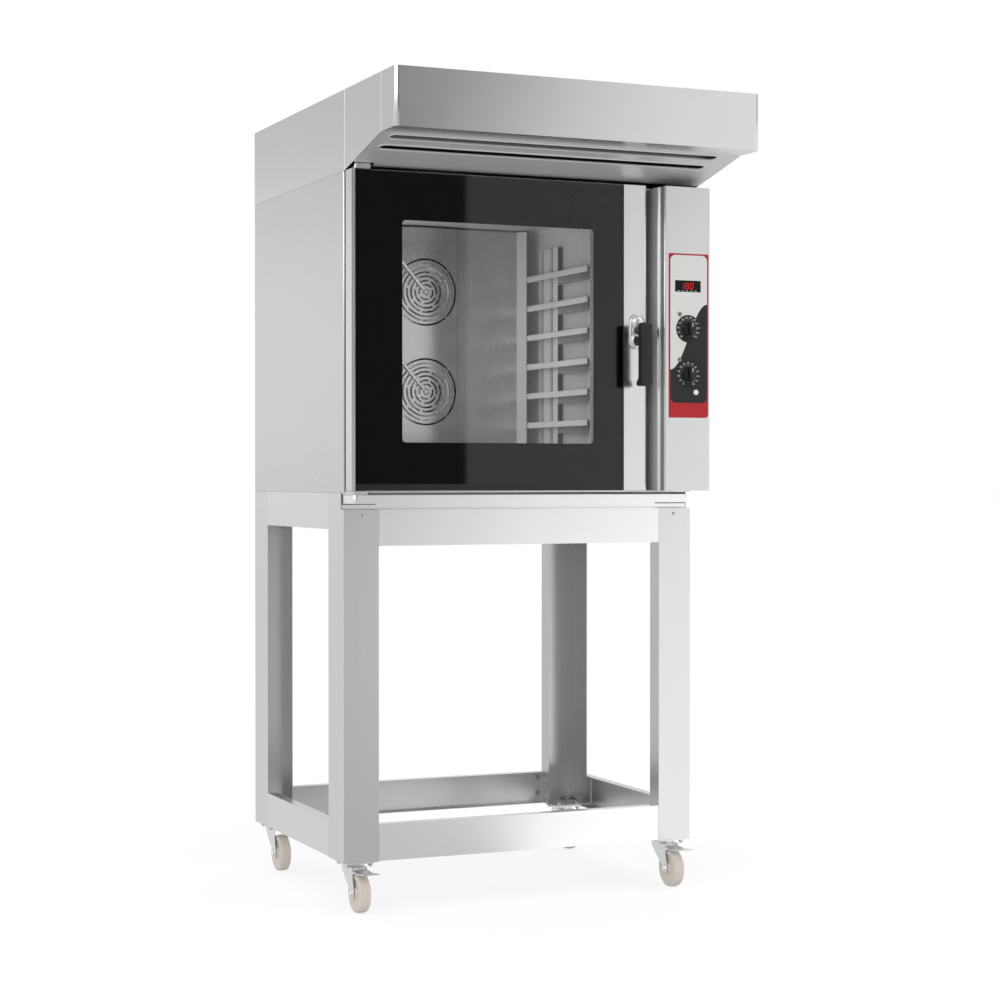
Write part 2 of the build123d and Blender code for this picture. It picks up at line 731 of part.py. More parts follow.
def control_box():
    """Folded control column with rounded front edges and a reveal on its left side."""
    box = block(BOX_LEFT, WIDTH, -BOX_REACH, -FIT, BOX_BOTTOM, BOX_TOP)
    uprights = box.edges().filter_by(Axis.Z).group_by(Axis.Y)[0]
    box = fillet(uprights, 4)
    t = SHEET
    box -= block(BOX_LEFT + t, WIDTH - t, -BOX_REACH + t, 1, BOX_BOTTOM + t, BOX_TOP - t)
    groove_front = -BOX_REACH + 24
    box -= block(BOX_LEFT - 1, BOX_LEFT + 0.9, groove_front, groove_front + 8, BOX_BOTTOM - 1, BOX_TOP + 1)
    for z in (UPPER_DIAL, LOWER_DIAL):
        box -= pin_hole((DIAL_X, -BOX_REACH - 1, z), (DIAL_X, -BOX_REACH + 3, z), KNOB_SHAFT + PIN_RUN)
    way = ((BUTTON_X, -BOX_REACH - 1, BUTTON_Z), (BUTTON_X, -BOX_REACH + 3, BUTTON_Z))
    return box - pin_hole(*way, BUTTON_RADIUS + PIN_RUN, BUTTON_SIDES)


def overlay_front():
    return -BOX_REACH - FIT - OVERLAY_SHEET


def control_overlay():
    """Printed film on the column with its lower right corner rounded and its openings."""
    face = -BOX_REACH - FIT
    x1 = OVERLAY_LEFT + OVERLAY_WIDTH
    z1 = OVERLAY_BOTTOM + OVERLAY_HEIGHT
    sheet = block(OVERLAY_LEFT, x1, face - OVERLAY_SHEET, face, OVERLAY_BOTTOM, z1)
    low_right = sheet.edges().filter_by(Axis.Y).group_by(Axis.Z)[0].sort_by(Axis.X)[-1]
    sheet = fillet(low_right, 9)
    for z in (UPPER_DIAL, LOWER_DIAL):
        sheet -= pin_hole((DIAL_X, face - 3, z), (DIAL_X, face + 3, z), KNOB_SHAFT + PIN_RUN)
    way = ((BUTTON_X, face - 3, BUTTON_Z), (BUTTON_X, face + 3, BUTTON_Z))
    sheet -= pin_hole(*way, BUTTON_RADIUS + PIN_RUN, BUTTON_SIDES)
    x0, x2, z0, z2 = display_edges()
    return sheet - block(x0 - FIT, x2 + FIT, face - 3, face + 3, z0 - FIT, z2 + FIT)


def display_edges():
    left = OVERLAY_LEFT + 17
    low = OVERLAY_BOTTOM + 315
    return left, left + 73, low, low + 29


def display_window():
    x0, x1, z0, z1 = display_edges()
    face = -BOX_REACH - FIT
    return block(x0, x1, face - OVERLAY_SHEET - 0.4, face, z0, z1)


def rotary_knob(z):
    """Knob with a flat skirt, a drum, a raised finger bar and its spindle."""
    back = overlay_front() - MOVE
    front = back - KNOB_LENGTH
    knob = pin((0, back, 0), (0, back - SKIRT, 0), SKIRT_RADIUS, 24)
    knob += pin((0, back - SKIRT + 1, 0), (0, back - SKIRT - 8, 0), DRUM_RADIUS)
    bar = block(-5.5, 5.5, front, back - SKIRT, -GRIP_REACH, GRIP_REACH)
    knob += chamfer(bar.edges().group_by(Axis.Y)[0], 2)
    knob += rod((0, back - 1, 0), (0, -BOX_REACH + 14, 0), KNOB_SHAFT)
    return Pos(DIAL_X, 0, z) * knob


def light_button():
    """Round push button held behind the column's sheet by a square collar."""
    front = overlay_front() - 3.5
    back = -BOX_REACH + 10
    near = -BOX_REACH + SHEET + MOVE
    reach = BUTTON_RADIUS + 2
    button = pin((0, front, 0), (0, back, 0), BUTTON_RADIUS, BUTTON_SIDES)
    button += block(-reach, reach, near, near + 2, -reach, reach)
    return Pos(BUTTON_X, 0, BUTTON_Z) * button


def drip_tray():
    """Gutter under the door with a pan that slides in below the oven."""
    t = SHEET
    low = TRAY_FLOOR
    high = TRAY_FLOOR + TRAY_HEIGHT
    back = TRAY_SET_BACK - MOVE
    pan_left, pan_right = 30, WIDTH - 70
    gutter = block(TRAY_LEFT, TRAY_RIGHT, TRAY_FRONT, back, low, high)
    gutter = fillet(gutter.edges().filter_by(Axis.Z).group_by(Axis.Y)[0], 8)
    outer = gutter + block(pan_left, pan_right, back - 5, TRAY_PAN_DEPTH, low, high)
    inner = block(TRAY_LEFT + t, TRAY_RIGHT - t, TRAY_FRONT + t, back - t, low + t, high + 1)
    inner = fillet(inner.edges().filter_by(Axis.Z).group_by(Axis.Y)[0], 6.5)
    inner += block(pan_left + t, pan_right - t, back - 8, TRAY_PAN_DEPTH - t, low + t, high + 1)
    return outer - inner


# Door


def window_edges():
    left = WINDOW_LEFT - WINDOW_RIM
    right = DOOR_WIDTH - WINDOW_RIGHT + WINDOW_RIM
    return left, right, DOOR_BOTTOM + WINDOW_BELOW - WINDOW_RIM, DOOR_TOP - WINDOW_ABOVE + WINDOW_RIM


def door_frame():
    """Door pan with its window reveal, hinge blocks and hollow right-hand stile."""
    t = SHEET
    left, right, low, high = window_edges()
    seat = DOOR_FRONT + GLASS + FIT
    stile_left = DOOR_WIDTH - STILE
    pan = block(0, DOOR_WIDTH, seat, DOOR_BACK, DOOR_BOTTOM, DOOR_TOP)
    pan -= block(t, stile_left, seat - 1, DOOR_BACK - t, DOOR_BOTTOM + t, DOOR_TOP - t)
    pan -= block(stile_left + t, DOOR_WIDTH + 1, seat - 1, DOOR_BACK + 1, DOOR_BOTTOM - 1, DOOR_TOP + 1)
    reveal = bevelled_prism(left - t, right + t, low - t, high + t, WINDOW_BEVEL, seat, DOOR_BACK)
    pan = pan + reveal - bevelled_prism(left, right, low, high, WINDOW_BEVEL - t / 2, seat - 1, DOOR_BACK + 1)
    pan += block(0, EDGE_STRIP, DOOR_FRONT, seat + 12, DOOR_BOTTOM, DOOR_TOP)
    stile = block(stile_left, DOOR_WIDTH, DOOR_FRONT, DOOR_BACK, DOOR_BOTTOM, DOOR_TOP)
    stile = fillet(stile.edges().filter_by(Axis.Z).group_by(Axis.X)[-1].sort_by(Axis.Y)[0], 8)
    stile_low, stile_high = DOOR_BOTTOM + t, DOOR_TOP - t
    stile -= block(stile_left + t, DOOR_WIDTH - t, DOOR_FRONT + t, DOOR_BACK - t, stile_low, stile_high)
    frame = pan + stile
    for z0, z1 in ((DOOR_BOTTOM, DOOR_BOTTOM + 30), (DOOR_TOP - 30, DOOR_TOP)):
        frame += block(t / 2, HINGE_X + 20, seat, DOOR_BACK - t / 2, z0, z1)
        frame -= pin_hole((HINGE_X, HINGE_Y, z0 - 1), (HINGE_X, HINGE_Y, z1 + 1), HINGE_PIN + PIN_RUN)
    spindle_way = ((HANDLE_X, DOOR_FRONT - 1, HANDLE_Z), (HANDLE_X, DOOR_BACK + 1, HANDLE_Z))
    return frame - pin_hole(*spindle_way, HINGE_PIN + PIN_RUN)


def door_glass_outer():
    x1 = DOOR_WIDTH - STILE - FIT
    glass = block(EDGE_STRIP + FIT, x1, DOOR_FRONT, DOOR_FRONT + GLASS, DOOR_BOTTOM, DOOR_TOP)
    return chamfer(glass.edges().group_by(Axis.Y)[0], 0.6)


def door_glass_inner():
    left, right, low, high = window_edges()
    y = DOOR_BACK - 8
    return bevelled_prism(left + FIT, right - FIT, low + FIT, high - FIT, WINDOW_BEVEL, y, y + GLASS)


def handle_rose():
    """Chrome plate with a domed boss above and an open eye below the spindle."""
    face = DOOR_FRONT - FIT
    half = ROSE_WIDTH / 2
    low, high = HANDLE_Z - ROSE_BELOW, HANDLE_Z + ROSE_ABOVE
    plate = block(HANDLE_X - half, HANDLE_X + half, face - 7, face, low, high)
    plate = chamfer(plate.edges().filter_by(Axis.Y), 13)
    rose = chamfer(plate.edges().group_by(Axis.Y)[0], 2)
    dome_z = high - half + 1
    dome = pin((HANDLE_X, face - 5, dome_z), (HANDLE_X, face - 19, dome_z), 16, 16)
    rose += chamfer(dome.edges().group_by(Axis.Y)[0], 6)
    eye_z = low + 20
    eye = Pos(HANDLE_X - 5, eye_z) * (Rectangle(26, 36) - Rectangle(12, 20))
    eye = extrude(front_face(face - 5) * eye, amount=13)
    rose += chamfer(eye.edges().filter_by(Axis.Y), 5)
    neck_way = ((HANDLE_X, face - 40, HANDLE_Z), (HANDLE_X, face + 1, HANDLE_Z))
    return rose - pin_hole(*neck_way, NECK_RADIUS + MOVE, 16)


def handle_lever():
    """Lever with a round neck, an upright grip and a toe turned to the door."""
    grip_back = GRIP_FRONT + GRIP_DEPTH
    top = HANDLE_Z + GRIP_UP
    low = HANDLE_Z - GRIP_DOWN
    x0 = HANDLE_X - GRIP_WIDTH / 2
    points = [
        (GRIP_FRONT, low), (grip_back + TOE, low), (grip_back + TOE, low + 10),
        (grip_back, low + 16), (grip_back, top), (GRIP_FRONT, top),
    ]
    profile = make_face(Polyline(*points, close=True))
    profile = chamfer(profile.vertices().group_by(Axis.X)[0], 7)
    lever = extrude(side_face(x0) * profile, amount=GRIP_WIDTH)
    rims = lever.edges().group_by(Axis.X)
    lever = chamfer(rims[0] + rims[-1], GRIP_EDGE)
    return lever + rod((HANDLE_X, NECK_END, HANDLE_Z), (HANDLE_X, grip_back - 6, HANDLE_Z), NECK_RADIUS)


def latch_tongue():
    """Square spindle through the stile with the turning tongue behind the door."""
    y_back = DOOR_BACK + 10.8
    spindle = pin((HANDLE_X, NECK_END + FIT, HANDLE_Z), (HANDLE_X, y_back, HANDLE_Z), HINGE_PIN, 4)
    tongue = block(HANDLE_X - 8, HANDLE_X + 8, y_back - 4.5, y_back, HANDLE_Z - 9, HANDLE_Z + TONGUE)
    return spindle + chamfer(tongue.edges().filter_by(Axis.Y), 3)


# Hood


def fascia_floor():
    return HOOD_TOP - FASCIA_HEIGHT


def hood_shell():
    """Hood box over the oven with cheeks reaching forward to the fascia."""
    t = SHEET
    nose = -HOOD_REACH + HOOD_BOX + FIT
    outline = [
        (BODY_DEPTH, HOOD_FLOOR), (BODY_DEPTH, HOOD_TOP), (nose, HOOD_TOP),
        (nose, fascia_floor()), (SLOPE_START, HOOD_FLOOR),
    ]
    shell = side_plate(outline, 0, WIDTH)
    shell -= block(t, WIDTH - t, nose - 1, BODY_DEPTH - t, HOOD_FLOOR - 1, HOOD_TOP - t)
    seam = block(-1, 0.6, SLOPE_START - 0.9, SLOPE_START + 0.9, HOOD_FLOOR - 1, HOOD_TOP + 1)
    shell -= seam + mirror_left_right(seam)
    x, y = collar_spot()
    return shell - rod((x, y, HOOD_TOP - 5), (x, y, HOOD_TOP + 1), COLLAR_RADIUS - 2)


def hood_fascia():
    """Front box of the hood: face, side returns, top and bottom flanges."""
    t = SHEET
    back = -HOOD_REACH + HOOD_BOX
    fascia = block(0, WIDTH, -HOOD_REACH, back, fascia_floor(), HOOD_TOP)
    corners = fascia.edges().filter_by(Axis.Z).group_by(Axis.Y)[0]
    fascia = fillet(corners, HOOD_CORNER)
    hollow = block(t, WIDTH - t, -HOOD_REACH + t, back + 1, fascia_floor() + t, HOOD_TOP - t)
    hollow = fillet(hollow.edges().filter_by(Axis.Z).group_by(Axis.Y)[0], HOOD_CORNER - t)
    return fascia - hollow


def slope_height(y):
    """Height of the hood's sloping underside at y."""
    run = -HOOD_REACH + HOOD_BOX - SLOPE_START
    return HOOD_FLOOR + (fascia_floor() - HOOD_FLOOR) * (y - SLOPE_START) / run


def hood_baffle():
    """Sloping underside with two long intake slots and a turned-down lip."""
    t = SHEET
    inset = SHEET + FIT
    front = -HOOD_REACH + HOOD_BOX + FIT + 1
    half = t / 2
    points = [
        (front, slope_height(front) + half + 14), (front, slope_height(front) + half),
        (LIP_Y, slope_height(LIP_Y) + half), (LIP_Y + 12, slope_height(LIP_Y) + half),
    ]
    baffle = sheet_across(points, t, inset, WIDTH - inset, 0)
    for y in (-236, -171):
        slot = Rectangle(WIDTH - 2 * SLOT_MARGIN - 30, SLOT_WIDTH)
        slot = chamfer(slot.vertices(), SLOT_END)
        baffle -= Pos(WIDTH / 2 - 14, y, HOOD_FLOOR) * extrude(slot, amount=HOOD_HEIGHT)
    baffle -= block(0, 56, DOOR_FRONT - 8, 0, HOOD_FLOOR - 5, HOOD_FLOOR + 40)
    return baffle


def collar_spot():
    return WIDTH / 2, BODY_DEPTH - COLLAR_BACK


def exhaust_collar():
    """Round outlet for a duct, standing on the hood's top sheet."""
    x, y = collar_spot()
    base = HOOD_TOP + FIT
    top = HOOD_TOP + COLLAR_HEIGHT
    tube = rod((x, y, base), (x, y, top), COLLAR_RADIUS)
    return tube - rod((x, y, base - 1), (x, y, top + 1), COLLAR_RADIUS - SHEET)


def save_stand():
    low = CASTOR_HEIGHT + RAIL_LIFT
    save("stand_leg_front_left", front_leg())
    save("stand_leg_front_right", mirror_left_right(front_leg()))
    save("stand_leg_rear_left", rear_leg())
    save("stand_leg_rear_right", mirror_left_right(rear_leg()))
    save("stand_top_rail_front", front_top_rail())
    save("stand_top_rail_rear", mirror_front_back(cross_rail(STAND_TOP - RAIL_HEIGHT)))
    save("stand_top_rail_left", side_rail(STAND_TOP - RAIL_HEIGHT))
    save("stand_top_rail_right", mirror_left_right(side_rail(STAND_TOP - RAIL_HEIGHT)))
    save("stand_bottom_rail_front", cross_rail(low))
    save("stand_bottom_rail_rear", mirror_front_back(cross_rail(low)))
    save("stand_bottom_rail_left", side_rail(low))
    save("stand_bottom_rail_right", mirror_left_right(side_rail(low)))


def save_castors():
    plates = [plate.solid() for plate in four_corners(castor_top_plate())]
    save("castor_top_plates", Compound(children=plates))
    for corner, (x, y) in castor_places().items():
        save(f"castor_fork_{corner}", Pos(x, y, 0) * castor_fork())
        save(f"castor_wheel_{corner}", Pos(x, y, 0) * castor_wheel())
        if corner.startswith("front"):
            save(f"brake_pedal_{corner}", Pos(x, y, 0) * brake_pedal())


def save_oven():
    save("oven_base_panel", base_panel())
    save("oven_left_panel", side_panel())
    save("oven_right_panel", mirror_left_right(side_panel()))
    save("oven_back_panel", back_panel())
    save("oven_top_panel", top_panel())
    save("oven_front_frame", front_frame())
    save("cavity_liner", cavity_liner())
    save("fan_baffle_panel", fan_baffle())
    for level, z in zip(("lower", "upper"), fan_heights()):
        save(f"fan_impeller_{level}", fan_impeller(z))
    save("fan_motors", Compound(children=[fan_motor(z).solid() for z in fan_heights()]))
    save("heating_elements", Compound(children=[heating_element(z).solid() for z in fan_heights()]))
    save("water_pipes", Compound(children=[water_pipe(z).solid() for z in fan_heights()]))
    save("tray_rack_left", tray_rack())
    save("tray_rack_right", rack_right())
    save("cavity_lamp", cavity_lamp())
    save("door_gasket", door_gasket())
    save("latch_keeper", latch_keeper())
    save("hinge_brackets", Compound(children=[upper_hinge().solid(), lower_hinge().solid()]))
    save("drip_tray", drip_tray())


def save_controls():
    save("control_box", control_box())
    save("control_overlay", control_overlay())
    save("display_window", display_window())
    save("temperature_knob", rotary_knob(UPPER_DIAL))
    save("timer_knob", rotary_knob(LOWER_DIAL))
    save("light_button", light_button())


def save_door():
    save("door_frame", door_frame())
    save("door_glass_outer", door_glass_outer())
    save("door_glass_inner", door_glass_inner())
    save("handle_rose", handle_rose())
    save("handle_lever", handle_lever())
    save("latch_tongue", latch_tongue())


def save_hood():
    save("hood_shell", hood_shell())
    save("hood_fascia", hood_fascia())
    save("hood_baffle", hood_baffle())
    save("hood_exhaust_collar", exhaust_collar())


os.makedirs("parts", exist_ok=True)
save_stand()
save_castors()
save_oven()
save_controls()
save_door()
save_hood()
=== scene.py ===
import math

import bmesh
import bpy
from mathutils import Matrix, Vector


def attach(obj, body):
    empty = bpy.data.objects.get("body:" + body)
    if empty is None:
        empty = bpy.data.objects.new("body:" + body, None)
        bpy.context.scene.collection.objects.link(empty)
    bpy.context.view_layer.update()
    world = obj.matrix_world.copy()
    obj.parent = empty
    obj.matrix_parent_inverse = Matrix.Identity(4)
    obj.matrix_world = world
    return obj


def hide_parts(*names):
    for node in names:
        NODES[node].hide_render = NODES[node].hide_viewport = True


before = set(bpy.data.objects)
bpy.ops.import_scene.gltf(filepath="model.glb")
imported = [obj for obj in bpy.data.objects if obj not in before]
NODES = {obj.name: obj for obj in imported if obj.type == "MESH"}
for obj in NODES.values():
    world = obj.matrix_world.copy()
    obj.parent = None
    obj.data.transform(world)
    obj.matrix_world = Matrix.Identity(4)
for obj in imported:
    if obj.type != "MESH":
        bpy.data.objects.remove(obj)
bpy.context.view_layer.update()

# Left side and body front in the frame, in metres
LEFT = -0.470
FRONT = -0.184

# Main places in millimetres, from the left side, the body front and the floor
STAND_TOP = 1012
OVEN_TOP = 1782
CAVITY_CENTRE = 404
FAN_HEIGHTS = {"lower": 1278, "upper": 1544}
OVERLAY_FACE = -105.0
OVERLAY_LEFT = 823
OVERLAY_BOTTOM = 1199
DIAL_X = 877.5
DIALS = {"temperature_knob": 1422, "timer_knob": 1308}
HANDLE_X = 757
HANDLE_Z = 1416
HANDLE_FACE = -58.2
GRIP_X = 750.3
CASTORS = {
    "front_left": (45, 50), "front_right": (895, 50), "rear_left": (45, 666), "rear_right": (895, 666),
}
CASTOR_TRAIL = 36
WHEEL_RADIUS = 47

# Door glass and its clear window: left, right, bottom and top
GLASS_EDGES = (10, 720.5, 1017.5, 1780.5)
WINDOW_EDGES = (130, 638, 1133, 1665)
WINDOW_RADIUS = 10
PRINT_DEPTH = -53.9

# Fan wall: distances from its middle, and how far each part stands in front of its plane
WALL_DEPTH = 500
WALL_BOTTOM = 1093
WALL_TOP = 1716
WALL_SHEET = 1.2
PRESSING_HALF = 94
SHOULDER_HALF = 98
WING_FOLD = 272
WALL_HALF = 290
PRESSING_EDGE = 5
PRESSING_BOW = 9
WING_FORWARD = 26
WALL_SHARP = 20

# Fan guards: rings of slots with bridges between them
GUARD_STEPS = 96
GUARD_RINGS = (19.4, 30.4, 42.2, 53.2, 65, 76, 87.5)
GUARD_BOSS = (0, 5, 8, 12)
GUARD_RIM = 92
BOSS_RISE = 2.5
SLOT_HALF = 2.5
BRIDGE_WIDTH = 7
BRIDGE_COUNT = 4
BRIDGE_START = 5
BRIDGE_SHIFT = 2
FAN_BLADES = 18

# Tray racks: distances from the middle of the cavity, depths and heights
RACK_BOTTOM = 1112.5
RACK_TOP = 1662
RACK_EDGE = 314
RACK_WALL = 326
PEG_END = 329.8
LEDGE_FRONT = 95
LEDGE_REAR = 468
LEDGES = 6
LEDGE_PITCH = 79
FIRST_LEDGE = 185

# Slots in the hood's sloping underside
SLOT_LEFT = 28
SLOT_RIGHT = 884
SLOT_HALF_WIDTH = 15
SLOT_MIDDLES = (-236, -171)
HOOD_SLOPE_LOW = 1780.2
HOOD_SLOPE = -0.2241

# Camera solved for the picture
CAMERA_PLACE = (-2.1961, -5.0811, 1.0500)
CAMERA_YAW = math.radians(23.55)
CAMERA_PITCH = math.radians(0.606)
CAMERA_LENS = 77.915

# Levels of the studio
AMBIENT = 0.85
DARK_BAND = 0.16
BAND_EDGE = math.radians(22.66)
FLOOR_GLOW = 0.745
FLOOR_BRIGHT = 1.3
FLOOR_DIM = 0.64
FLOOR_SIDE = 0.84
FLOOR_REAR = 0.6
WORLD_REAR = 0.66
WORLD_LEFT_REAR = 0.74
WORLD_ABOVE = 0.9
CAVITY_FILL = 0.9
CAVITY_SIDE = 2.3

# Soft edges of the CAD pieces: lengths in metres, and the least angle that is rounded
WELD_REACH = 0.00001
EDGE_WIDTH = 0.0005
EDGE_ANGLE = math.radians(35)

# Axes of turned forms
AXIS_X = 0
AXIS_Y = 1
AXIS_Z = 2


def link(obj):
    bpy.context.scene.collection.objects.link(obj)
    return obj


def shift(x, y, z):
    """Point given from the left side, the body front and the floor, in millimetres."""
    return Vector((x / 1000 + LEFT, y / 1000 + FRONT, z / 1000))


class Nodes:
    """Short names for building a node tree."""

    def __init__(self, tree):
        self.tree = tree
        self.tree.nodes.clear()
        self.coords = self.tree.nodes.new("ShaderNodeTexCoord")

    def node(self, kind, inputs=None, **settings):
        made = self.tree.nodes.new(kind)
        for key, value in settings.items():
            setattr(made, key, value)
        for key, value in (inputs or {}).items():
            if isinstance(value, bpy.types.NodeSocket):
                self.tree.links.new(value, made.inputs[key])
            else:
                made.inputs[key].default_value = value
        return made

    def math(self, operation, a, b=None):
        inputs = {0: a}
        if b is not None:
            inputs[1] = b
        return self.node("ShaderNodeMath", inputs, operation=operation).outputs[0]

    def plus(self, a, b):
        return self.math("ADD", a, b)

    def minus(self, a, b):
        return self.math("SUBTRACT", a, b)

    def times(self, a, b):
        return self.math("MULTIPLY", a, b)

    def span(self, value, low, high, start=0.0, end=1.0, smooth=True):
        """Turns the stretch from low to high into start to end."""
        kind = "SMOOTHSTEP" if smooth else "LINEAR"
        ends = {"Value": value, "From Min": low, "From Max": high, "To Min": start, "To Max": end}
        made = self.node("ShaderNodeMapRange", ends, interpolation_type=kind)
        made.clamp = kind == "SMOOTHSTEP"
        return made.outputs["Result"]

    def sweep(self, angle, start, end, low=0.0, high=1.0):
        """Turns the directions from start to end, in degrees, into low to high."""
        return self.span(angle, math.radians(start), math.radians(end), low, high)

    def ramp(self, value, low, high):
        """Turns 0 to 1 into a number between low and high."""
        return self.span(value, 0.0, 1.0, low, high, smooth=False)

    def light(self, kind, strength):
        """White light; the kind is Background or Emission."""
        return self.node(f"ShaderNode{kind}", {"Color": (1, 1, 1, 1), "Strength": strength})

    def either(self, choice, off, on):
        """Mixes two shader nodes: the first at 0, the second at 1."""
        return self.node("ShaderNodeMixShader", {0: choice, 1: off.outputs[0], 2: on.outputs[0]})


class Shader(Nodes):
    """Short names for building a material."""

    def __init__(self, name):
        self.material = bpy.data.materials.new(name)
        self.material.use_nodes = True
        super().__init__(self.material.node_tree)
        self.output = self.tree.nodes.new("ShaderNodeOutputMaterial")

    def mapped(self, scale):
        """Object coordinates stretched per axis."""
        inputs = {"Vector": self.coords.outputs["Object"], "Scale": scale}
        return self.node("ShaderNodeMapping", inputs).outputs["Vector"]

    def noise(self, scale, detail, stretch=(1, 1, 1), roughness=0.5):
        inputs = {"Vector": self.mapped(stretch), "Scale": scale, "Detail": detail, "Roughness": roughness}
        return self.node("ShaderNodeTexNoise", inputs).outputs["Fac"]

    def shade(self, value, dark, light):
        """Turns 0 to 1 into a colour between two colours."""
        inputs = {"Factor": value, 6: (*dark, 1), 7: (*light, 1)}
        return self.node("ShaderNodeMix", inputs, data_type="RGBA").outputs[2]

    def over(self, colour, mask, top):
        """Lays a plain colour over another where the mask is 1."""
        inputs = {"Factor": mask, 6: colour, 7: (*top, 1)}
        return self.node("ShaderNodeMix", inputs, data_type="RGBA").outputs[2]

    def bump(self, height, strength):
        inputs = {"Height": height, "Strength": strength, "Distance": GRAIN_DEPTH}
        return self.node("ShaderNodeBump", inputs).outputs["Normal"]

    def principled(self, colour, roughness, height, strength, **others):
        """Ends the material with one principled surface."""
        normal = self.bump(height, strength)
        inputs = {"Base Color": colour, "Roughness": roughness, "Normal": normal, **others}
        return self.finish(self.node("ShaderNodeBsdfPrincipled", inputs).outputs["BSDF"])

    def finish(self, surface):
        self.tree.links.new(surface, self.output.inputs["Surface"])
        return self.material


def tones(colour, spread):
    """A colour made a little darker, and the same a little lighter."""
    return tuple(c * (1 - spread) for c in colour), tuple(min(1, c * (1 + spread)) for c in colour)


# Mask for the painted shade on the stand's inner faces
def inner_faces(s):
    """1 on faces that look towards the middle of the stand, else 0."""
    place = s.node("ShaderNodeSeparateXYZ", {0: s.coords.outputs["Object"]})
    normal = s.node("ShaderNodeSeparateXYZ", {0: s.coords.outputs["Normal"]})
    depth = s.times(s.minus(place.outputs[1], STAND_MIDDLE), normal.outputs[1])
    side = s.times(place.outputs[0], normal.outputs[0])
    return s.math("LESS_THAN", s.math("MINIMUM", depth, side), -INNER_REACH)


def brushed_steel(
    name, tone, grain, roughness, spread=0.04, metallic=1.0, strength=0.1, seams=(), inside=None
):
    """Brushed sheet: long fine streaks in colour, roughness and height.

    Folded seams catch the light as a painted highlight, and the inner side of folded sheet can get a
    painted shade.
    """
    s = Shader(name)
    streaks = s.noise(900, 4, grain, 0.65)
    clouds = s.noise(3.5, 3)
    smears = s.noise(22, 4, (1, 1, 1), 0.6)
    mixed = s.plus(s.times(streaks, 0.75), s.times(clouds, 0.25))
    rough = s.plus(s.ramp(streaks, roughness - 0.04, roughness + 0.04), s.ramp(smears, -0.02, 0.02))
    rough = s.plus(rough, s.ramp(clouds, -0.02, 0.02))
    colour = s.shade(mixed, *tones(tone, spread))
    # Painted highlight: a bright line along each folded seam, where the bent edge would catch the light
    for place in seams:
        depth = s.node("ShaderNodeSeparateXYZ", {0: s.coords.outputs["Object"]}).outputs[1]
        away = s.math("ABSOLUTE", s.minus(depth, place / 1000 + FRONT))
        colour = s.over(colour, s.span(away, SEAM_CORE, SEAM_EDGE, 1.0, 0.0), SEAM_HIGHLIGHT_TONE)
    # Painted shade: faces that look towards the middle of the stand get a darker tone
    if inside:
        colour = s.over(colour, inner_faces(s), inside)
    return s.principled(colour, rough, streaks, strength, Metallic=metallic)


def painted(name, colour, roughness, speck=0.06, metallic=0.0, scale=400, strength=0.05, index=1.45):
    """Paint, plastic or rubber with a fine grain and slight blotches."""
    s = Shader(name)
    grain = s.noise(scale, 3)
    blotch = s.noise(14, 4)
    rough = s.plus(s.ramp(grain, roughness - 0.06, roughness + 0.06), s.ramp(blotch, -0.04, 0.04))
    shade = s.shade(blotch, *tones(colour, speck))
    return s.principled(shade, rough, grain, strength, Metallic=metallic, IOR=index)


def thin_glass(name, tint, index, shine=0.01):
    """Pane that lets light through with a mirror reflection growing towards the edges."""
    s = Shader(name)
    smear = s.noise(9, 4)
    see = s.node("ShaderNodeBsdfTransparent", {"Color": (*tint, 1)})
    rough = s.ramp(smear, 0.0, shine)
    gloss = s.node("ShaderNodeBsdfGlossy", {"Color": (1, 1, 1, 1), "Roughness": rough})
    fresnel = s.node("ShaderNodeFresnel", {"IOR": index})
    return s.finish(s.either(fresnel.outputs[0], see, gloss).outputs[0])


def black_print(name):
    """Black print behind the glass, with faint clouds and no shine of its own."""
    s = Shader(name)
    smear = s.noise(7, 4)
    grain = s.noise(600, 2)
    shade = s.shade(smear, (0.0035, 0.0035, 0.0036), (0.0045, 0.0045, 0.0046))
    return s.principled(shade, s.ramp(grain, 0.7, 0.9), grain, 0.02, IOR=1.0)


def glowing(name, colour, strength):
    """Lit digits, a little uneven along each bar."""
    s = Shader(name)
    flicker = s.noise(300, 2)
    dim = tuple(c * 0.8 for c in colour)
    emission = s.node("ShaderNodeEmission", {"Color": s.shade(flicker, dim, colour), "Strength": strength})
    return s.finish(emission.outputs[0])


GRAIN_DEPTH = 0.0002
ALONG_X = (0.004, 1, 1)
ALONG_Y = (1, 0.004, 1)
ALONG_Z = (1, 1, 0.004)
STEEL_TONE = (0.645, 0.645, 0.648)
STAND_TONE = (0.665, 0.665, 0.667)
# Shaded copy of the panel steel: the oven's side panels are painted a little darker than its front, top
# and back
SIDE_SHADED_TONE = (0.615, 0.615, 0.618)
# Bright tone painted as the highlight along the hood's folded seams
SEAM_HIGHLIGHT_TONE = (0.92, 0.92, 0.92)
SEAM_CORE = 0.0012
SEAM_EDGE = 0.0036
CAVITY_TONE = (0.5, 0.5, 0.5)
# Lit and shaded copies of the stand's steel: the rails across and the drip tray are painted lighter, the
# side rails darker
FRONT_RAIL_LIT_TONE = (0.83, 0.83, 0.832)
SIDE_RAIL_SHADED_TONE = (0.71, 0.71, 0.712)
# Darker tone painted as shade on the stand's inner faces
INNER_SHADE_TONE = (0.53, 0.53, 0.53)
STAND_MIDDLE = 0.174
INNER_REACH = 0.1

